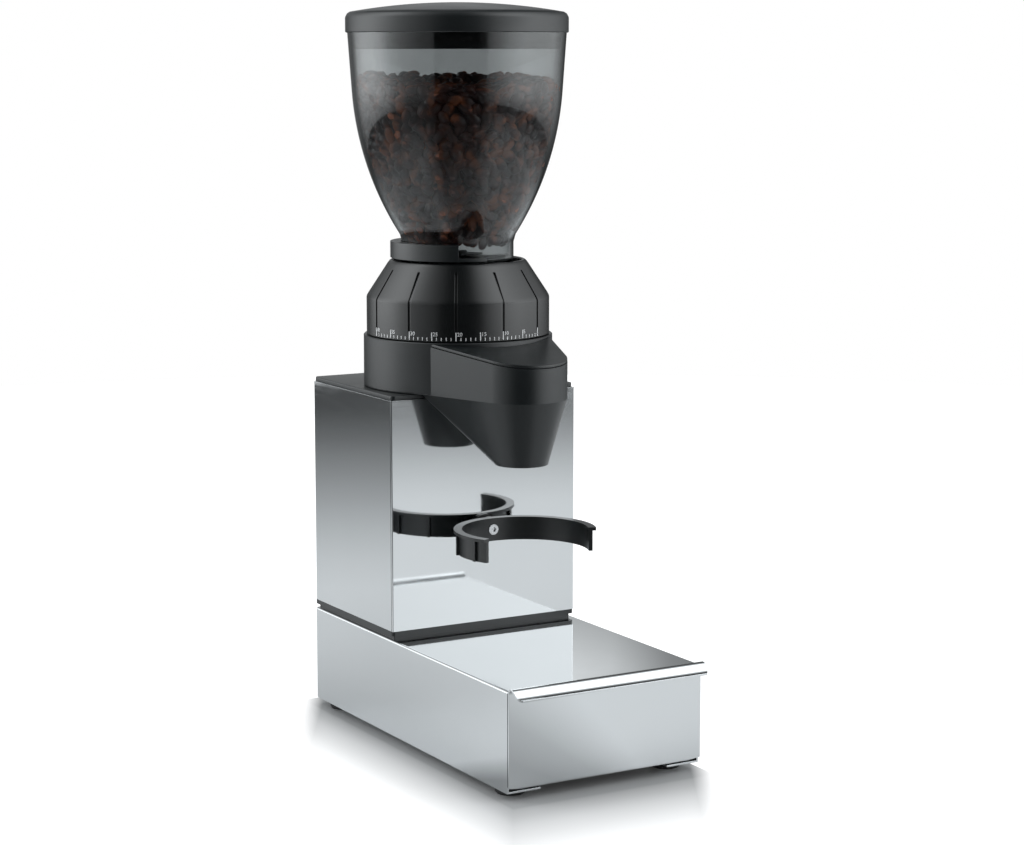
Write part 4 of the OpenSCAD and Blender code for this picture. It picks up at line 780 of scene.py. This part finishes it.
def wrapped(ob, angle, z):
    """Bends a flat mark in XY onto the collar's band at an angle and a height."""
    for v in ob.data.vertices:
        a = angle + v.co.x / BAND_R
        r = BAND_R + PRINT_T
        v.co = (r * math.cos(a), HEAD_Y + r * math.sin(a), z + v.co.y)


marks = []
for n in range(DIAL_MARKS):
    wide, tall = (0.6, 5.4) if n % 5 == 0 else (0.5, 2.1)
    angle = math.radians(DIAL_ZERO - DIAL_STEP * n)
    bpy.ops.mesh.primitive_plane_add(size=1)
    tick = bpy.context.object
    for v in tick.data.vertices:
        v.co = (v.co.x * wide * MM, (v.co.y + 0.5) * tall * MM, 0)
    wrapped(tick, angle, COLLAR_Z + TICK_UP)
    marks.append(tick)
    if n % 5 == 0 and n:
        bpy.ops.object.text_add()
        number = bpy.context.object
        number.data.body = str(n)
        number.data.size = NUMBER_SIZE
        number.data.resolution_u = 3
        alone(number)
        bpy.ops.object.convert(target="MESH")
        number = bpy.context.object
        for v in number.data.vertices:
            v.co.x += NUMBER_SHIFT
        wrapped(number, angle, COLLAR_Z + NUMBER_UP)
        marks.append(number)
dial = join(marks, "dial_print")
seat(dial, "collar", None, white_print)

# ---------- Burr carrier ----------
# The moulded ring that holds the ring burr and takes the hopper's foot.
# Black plastic; it slides in the housing as the collar turns on its thread.

carrier = recast("burr_carrier", "burr_carrier_ring", 0.2 * MM, 40)
seat(carrier, "carrier", "dark_plastic", black, "burr_carrier")

# ---------- Bean hopper ----------
# A clear grey-smoked moulding, 2.8 mm thick: straight neck, a long curve that
# opens out, and an almost upright upper wall.

NECK_R, HOPPER_R, WALL = 36.2 * MM, 70.4 * MM, 2.8 * MM
NECK_Z, FLARE_Z, HOPPER_TOP = 294.4 * MM, 322.4 * MM, 452.145 * MM
TAPER, TAPER_H, ARC_R = math.radians(4), 38 * MM, 197 * MM
LOW_R = 67.7428 * MM
ARC_END = math.radians(32.3757)
ARC_STEPS = 24


def hopper_wall(gap):
    """Radii and heights of the hopper's outside, or of a line the gap inside it."""
    points = [(NECK_R - gap, NECK_Z), (NECK_R - gap, FLARE_Z - 5 * MM)]
    for i in range(ARC_STEPS + 1):
        a = ARC_END + (TAPER - ARC_END) * i / ARC_STEPS
        points.append((LOW_R - ARC_R * (math.cos(TAPER) - math.cos(a)) - gap / math.cos(a),
                       HOPPER_TOP - TAPER_H - ARC_R * (math.sin(a) - math.sin(TAPER))))
    points.append((HOPPER_R - gap / math.cos(TAPER), HOPPER_TOP))
    return points


bowl = ring_up("hopper_bowl", hopper_wall(0) + hopper_wall(WALL)[::-1], ROUND_STEPS, (0, HEAD_Y), closed=True)
alone(bowl)
bpy.ops.object.shade_smooth_by_angle(angle=math.radians(40))
smoke, tree, bsdf = shade("smoked_clear")
grazing = node(tree, "ShaderNodeLayerWeight")
depth = ramp(tree, grazing.outputs["Facing"], [(0.0, (0.40, 0.42, 0.425)), (0.55, (0.37, 0.39, 0.395)),
                                               (0.80, (0.18, 0.19, 0.195)), (0.95, (0.03, 0.032, 0.033))])
tree.links.new(depth, bsdf.inputs["Base Color"])
bsdf.inputs["Transmission Weight"].default_value = 1.0
bsdf.inputs["IOR"].default_value = 1.47
haze = place_effect(tree, wiping, Streaks=40.0)
tree.links.new(between(tree, haze.outputs["Cloud"], 0.0, 0.012), bsdf.inputs["Roughness"])
seat(bowl, "hopper_body", "smoke_plastic", smoke, "hopper")
bowl.visible_shadow = False

# ---------- Shutter with its grip band ----------
# Blades over the grate in the hopper's neck, worked by a partial band outside it.
# One dark moulding that turns on the neck.

shutter = recast("shutter_ring", "shutter_band", 0.35 * MM, 40)
seat(shutter, "shutter", "dark_plastic", housing_grey, "shutter_ring")

# ---------- Lid ----------
# A dark grey moulding: shallow dome, upright rim, and a skirt with a soft seal
# that drops inside the hopper.

LID_R, LID_Z = 71.6 * MM, 452.345 * MM
SKIRT_R = HOPPER_R - WALL - 0.9 * MM
DOME_STEPS = 12
dome_low, dome_rise = LID_Z + 12 * MM, 6 * MM
dome_r = ((LID_R - 3 * MM) ** 2 + dome_rise ** 2) / (2 * dome_rise)
dome_a = math.asin((LID_R - 3 * MM) / dome_r)
profile = [(SKIRT_R - 2.4 * MM, LID_Z + 8 * MM), (SKIRT_R - 2.4 * MM, LID_Z - 11 * MM),
           (SKIRT_R - 0.4 * MM, LID_Z - 11.4 * MM), (SKIRT_R, LID_Z - 10 * MM), (SKIRT_R, LID_Z),
           (HOPPER_R + 0.35 * MM, LID_Z), (HOPPER_R + 0.35 * MM, LID_Z - 1.2 * MM),
           (LID_R - 0.5 * MM, LID_Z - 1.2 * MM), (LID_R, LID_Z - 0.6 * MM), (LID_R, LID_Z + 8.2 * MM),
           (LID_R - 0.3 * MM, LID_Z + 9.1 * MM), (LID_R - 1.3 * MM, LID_Z + 10.9 * MM)]
for i in range(DOME_STEPS):
    a = dome_a * (1 - i / DOME_STEPS)
    profile.append((dome_r * math.sin(a), dome_low + dome_rise - dome_r + dome_r * math.cos(a)))
profile.append((0, dome_low + dome_rise))
lid = ring_up("lid_shell", profile, ROUND_STEPS, (0, HEAD_Y))
open_up(lid, "EDGE")
pick_rims(lid)
bpy.ops.mesh.edge_face_add()
face_outwards()
alone(lid)
bpy.ops.object.shade_smooth_by_angle(angle=math.radians(35))
seat(lid, "lid", "lid_plastic", lid_grey, "hopper_lid")

# ---------- Coffee beans ----------
# Dark, oily roasted beans, loose in the hopper to a few centimetres under the lid.
# Each bean is a flattened ball with its crease pressed into the flat side. They lie
# in rings along the wall and in a heap on top; a plain core fills the middle.

rng = random.Random(11)
BEAN_SIDES = 10
ROUND_BEAN = [0, 14, 50, 92, 136, 180]
BEAN_L, BEAN_W = 5.3 * MM, 3.8 * MM
CREASE = 0.26
bpy.ops.mesh.primitive_uv_sphere_add(segments=BEAN_SIDES, ring_count=6, radius=1)
bean = bpy.context.object
bean.name = "bean"
for v in bean.data.vertices:
    along, r = v.co.z, (1 - abs(v.co.z) ** 2.4) ** 0.45
    step = round(math.degrees(math.atan2(v.co.y, v.co.x)) * BEAN_SIDES / 360)
    a = math.copysign(math.radians(ROUND_BEAN[abs(step)]), step)
    up = -r * math.cos(a) * (0.72 if math.cos(a) < 0 else 0.46)
    if step == 0:
        up += CREASE * r
    v.co = (along * BEAN_L, r * math.sin(a) * BEAN_W, up * BEAN_W)


def wall_at(z):
    """Inner radius of the hopper at a height."""
    points = hopper_wall(WALL)
    for (r0, z0), (r1, z1) in zip(points, points[1:]):
        if z0 <= z <= z1:
            return r0 + (r1 - r0) * (z - z0) / (z1 - z0)
    return points[-1][0]


verts, faces = [], []


def lay(place, spin):
    """Adds one bean, a little larger or smaller than the pattern."""
    base = len(verts)
    size = rng.uniform(0.88, 1.12)
    for v in bean.data.vertices:
        verts.append(tuple(spin @ (v.co * size) + place))
    for f in bean.data.polygons:
        faces.append([base + i for i in f.vertices])


BEAN_TOP = 414 * MM


def heap(a, k):
    """How far the heap stands above its lowest point, in millimetres."""
    left = a - math.radians(150)
    swell = 5.75 + 3.5 * math.cos(left + math.pi / 2) + 2 * math.cos(left) + 1.25 * math.cos(2 * left)
    return k * k * swell


def spun(lean):
    """A bean's stance: its flat side across the lean, and any turn about it."""
    return lean.to_track_quat("Z", "Y").to_matrix() @ Matrix.Rotation(rng.uniform(0, 3.14), 3, "Z")


BEAN_LOW, LAYER = 320 * MM, 5.6 * MM
TOP_BEANS = 420
z = BEAN_LOW
while z < BEAN_TOP + 9 * MM:
    for sunk, gap in ((3.0, 8.4), (7.5, 10.5)):
        r = wall_at(z) - sunk * MM
        count = max(5, int(2 * math.pi * r / (gap * MM)))
        start = rng.uniform(0, 6.28)
        for i in range(count):
            a = start + 2 * math.pi * i / count + rng.uniform(-0.02, 0.02)
            bean_r = r - rng.uniform(0, 0.8) * MM
            high = z + rng.uniform(-1.5, 1.5) * MM
            spot = Vector((bean_r * math.cos(a), HEAD_Y + bean_r * math.sin(a), high))
            out = Vector((math.cos(a), math.sin(a), -0.3)).normalized()
            side = out if rng.random() < 0.5 else -out
            nudge = Vector((rng.uniform(-1, 1), rng.uniform(-1, 1), rng.uniform(-1, 1)))
            stance = spun((side + nudge * 0.5).normalized())
            if z < BEAN_TOP + heap(a, 1) * MM:
                lay(spot, stance)
    z += LAYER
for i in range(TOP_BEANS):
    a = rng.uniform(0, 6.283)
    k = math.sqrt(rng.random())
    r = k * (wall_at(BEAN_TOP) - 5 * MM)
    up = heap(a, k) + rng.uniform(-4, 2.5)
    spot = Vector((r * math.cos(a), HEAD_Y + r * math.sin(a), BEAN_TOP + up * MM))
    lean = Vector((rng.uniform(-0.5, 0.5), rng.uniform(-0.5, 0.5), rng.choice((-1, 1)))).normalized()
    lay(spot, spun(lean))
mesh = bpy.data.meshes.new("bean_fill")
mesh.from_pydata(verts, [], faces)
beans = bpy.data.objects.new("bean_fill", mesh)
bpy.context.scene.collection.objects.link(beans)
bpy.data.objects.remove(bean)
for f in mesh.polygons:
    f.use_smooth = True
roast, tree, bsdf = shade("roasted_bean")
spot = node(tree, "ShaderNodeTexCoord")
lump = node(tree, "ShaderNodeTexNoise", Scale=95.0, Detail=1.0)
tree.links.new(spot.outputs["Object"], lump.inputs["Vector"])
brown = ramp(tree, lump.outputs["Fac"], [(0.36, (0.018, 0.008, 0.008)), (0.52, (0.085, 0.028, 0.020)),
                                         (0.66, (0.40, 0.12, 0.045))])
tree.links.new(brown, bsdf.inputs["Base Color"])
tree.links.new(between(tree, lump.outputs["Fac"], 0.28, 0.42), bsdf.inputs["Roughness"])
bsdf.inputs["Coat Weight"].default_value = 0.6
bsdf.inputs["Coat Roughness"].default_value = 0.18
seat(beans, "hopper_body", None, roast)
core_top = BEAN_TOP - 5 * MM
core = ring_up("bean_core", [(20 * MM, 319 * MM), (27 * MM, 327 * MM), (35 * MM, 345 * MM), (47 * MM, 375 * MM),
                             (55 * MM, core_top), (0, core_top)], 48, (0, HEAD_Y))
seat(core, "hopper_body", None, roast)

# ---------- Portafilter fork ----------
# A black C-shaped moulding that carries the portafilter's rim, held to its
# plunger by a socket screw through the boss at its back.

fork = recast("portafilter_fork", "fork_moulding", 0.35 * MM, 40, 2)
seat(fork, "fork", "dark_plastic", fork_black, "portafilter_fork")

# ---------- Drawer tray, knock bar, feet and gland ----------
# Moulded tray with its rubber-sleeved steel bar, rubber feet, and the gland
# through which the mains cord would enter the tower's back.

for part, name, body, slot, finish, width in (
        ("drawer_tray", "tray_moulding", "drawer", "dark_plastic", housing_grey, 0.5),
        ("knock_bar_sleeve", "knock_sleeve", "drawer", "rubber", rubber, 0.6),
        ("knock_bar", "knock_rod", "drawer", "bright_steel", turned, 0.4),
        ("rubber_feet", "feet", "grinder_body", "rubber", rubber, 0.4),
        ("cord_gland", "gland", "grinder_body", "rubber", rubber, 0.2)):
    piece = recast(part, name, width * MM, 40, 2)
    seat(piece, body, slot, finish, part)

# ---------- Parts inside the tower and the head ----------
# Gears, bearings, motor, board, switch and burrs keep their model shapes and are
# given their metals, plastics and rubber where they stand.


def dress(part, material):
    for holder in nodes[part].material_slots:
        holder.material = material


for part in ("foot_rivets", "drawer_nuts", "plinth_screws", "frame_screws", "lower_bearing", "upper_bearing",
             "burr_shaft", "idler_pin", "motor_can", "motor_rotor", "motor_screws", "switch_bracket",
             "switch_lever", "plunger", "plunger_spring", "fork_screw", "head_screws", "cone_burr_nut"):
    dress(part, turned)
for part in ("burr_gear", "idler_gear", "board_posts"):
    dress(part, brass)
for part in ("cone_burr", "ring_burr"):
    dress(part, ground)
dress("gear_frame", alloy)
dress("motor_magnets", ferrite)
dress("control_board", laminate)
for part in ("microswitch", "plunger_guide", "impeller", "hopper_grate"):
    dress(part, black)
dress("lid_seal", rubber)
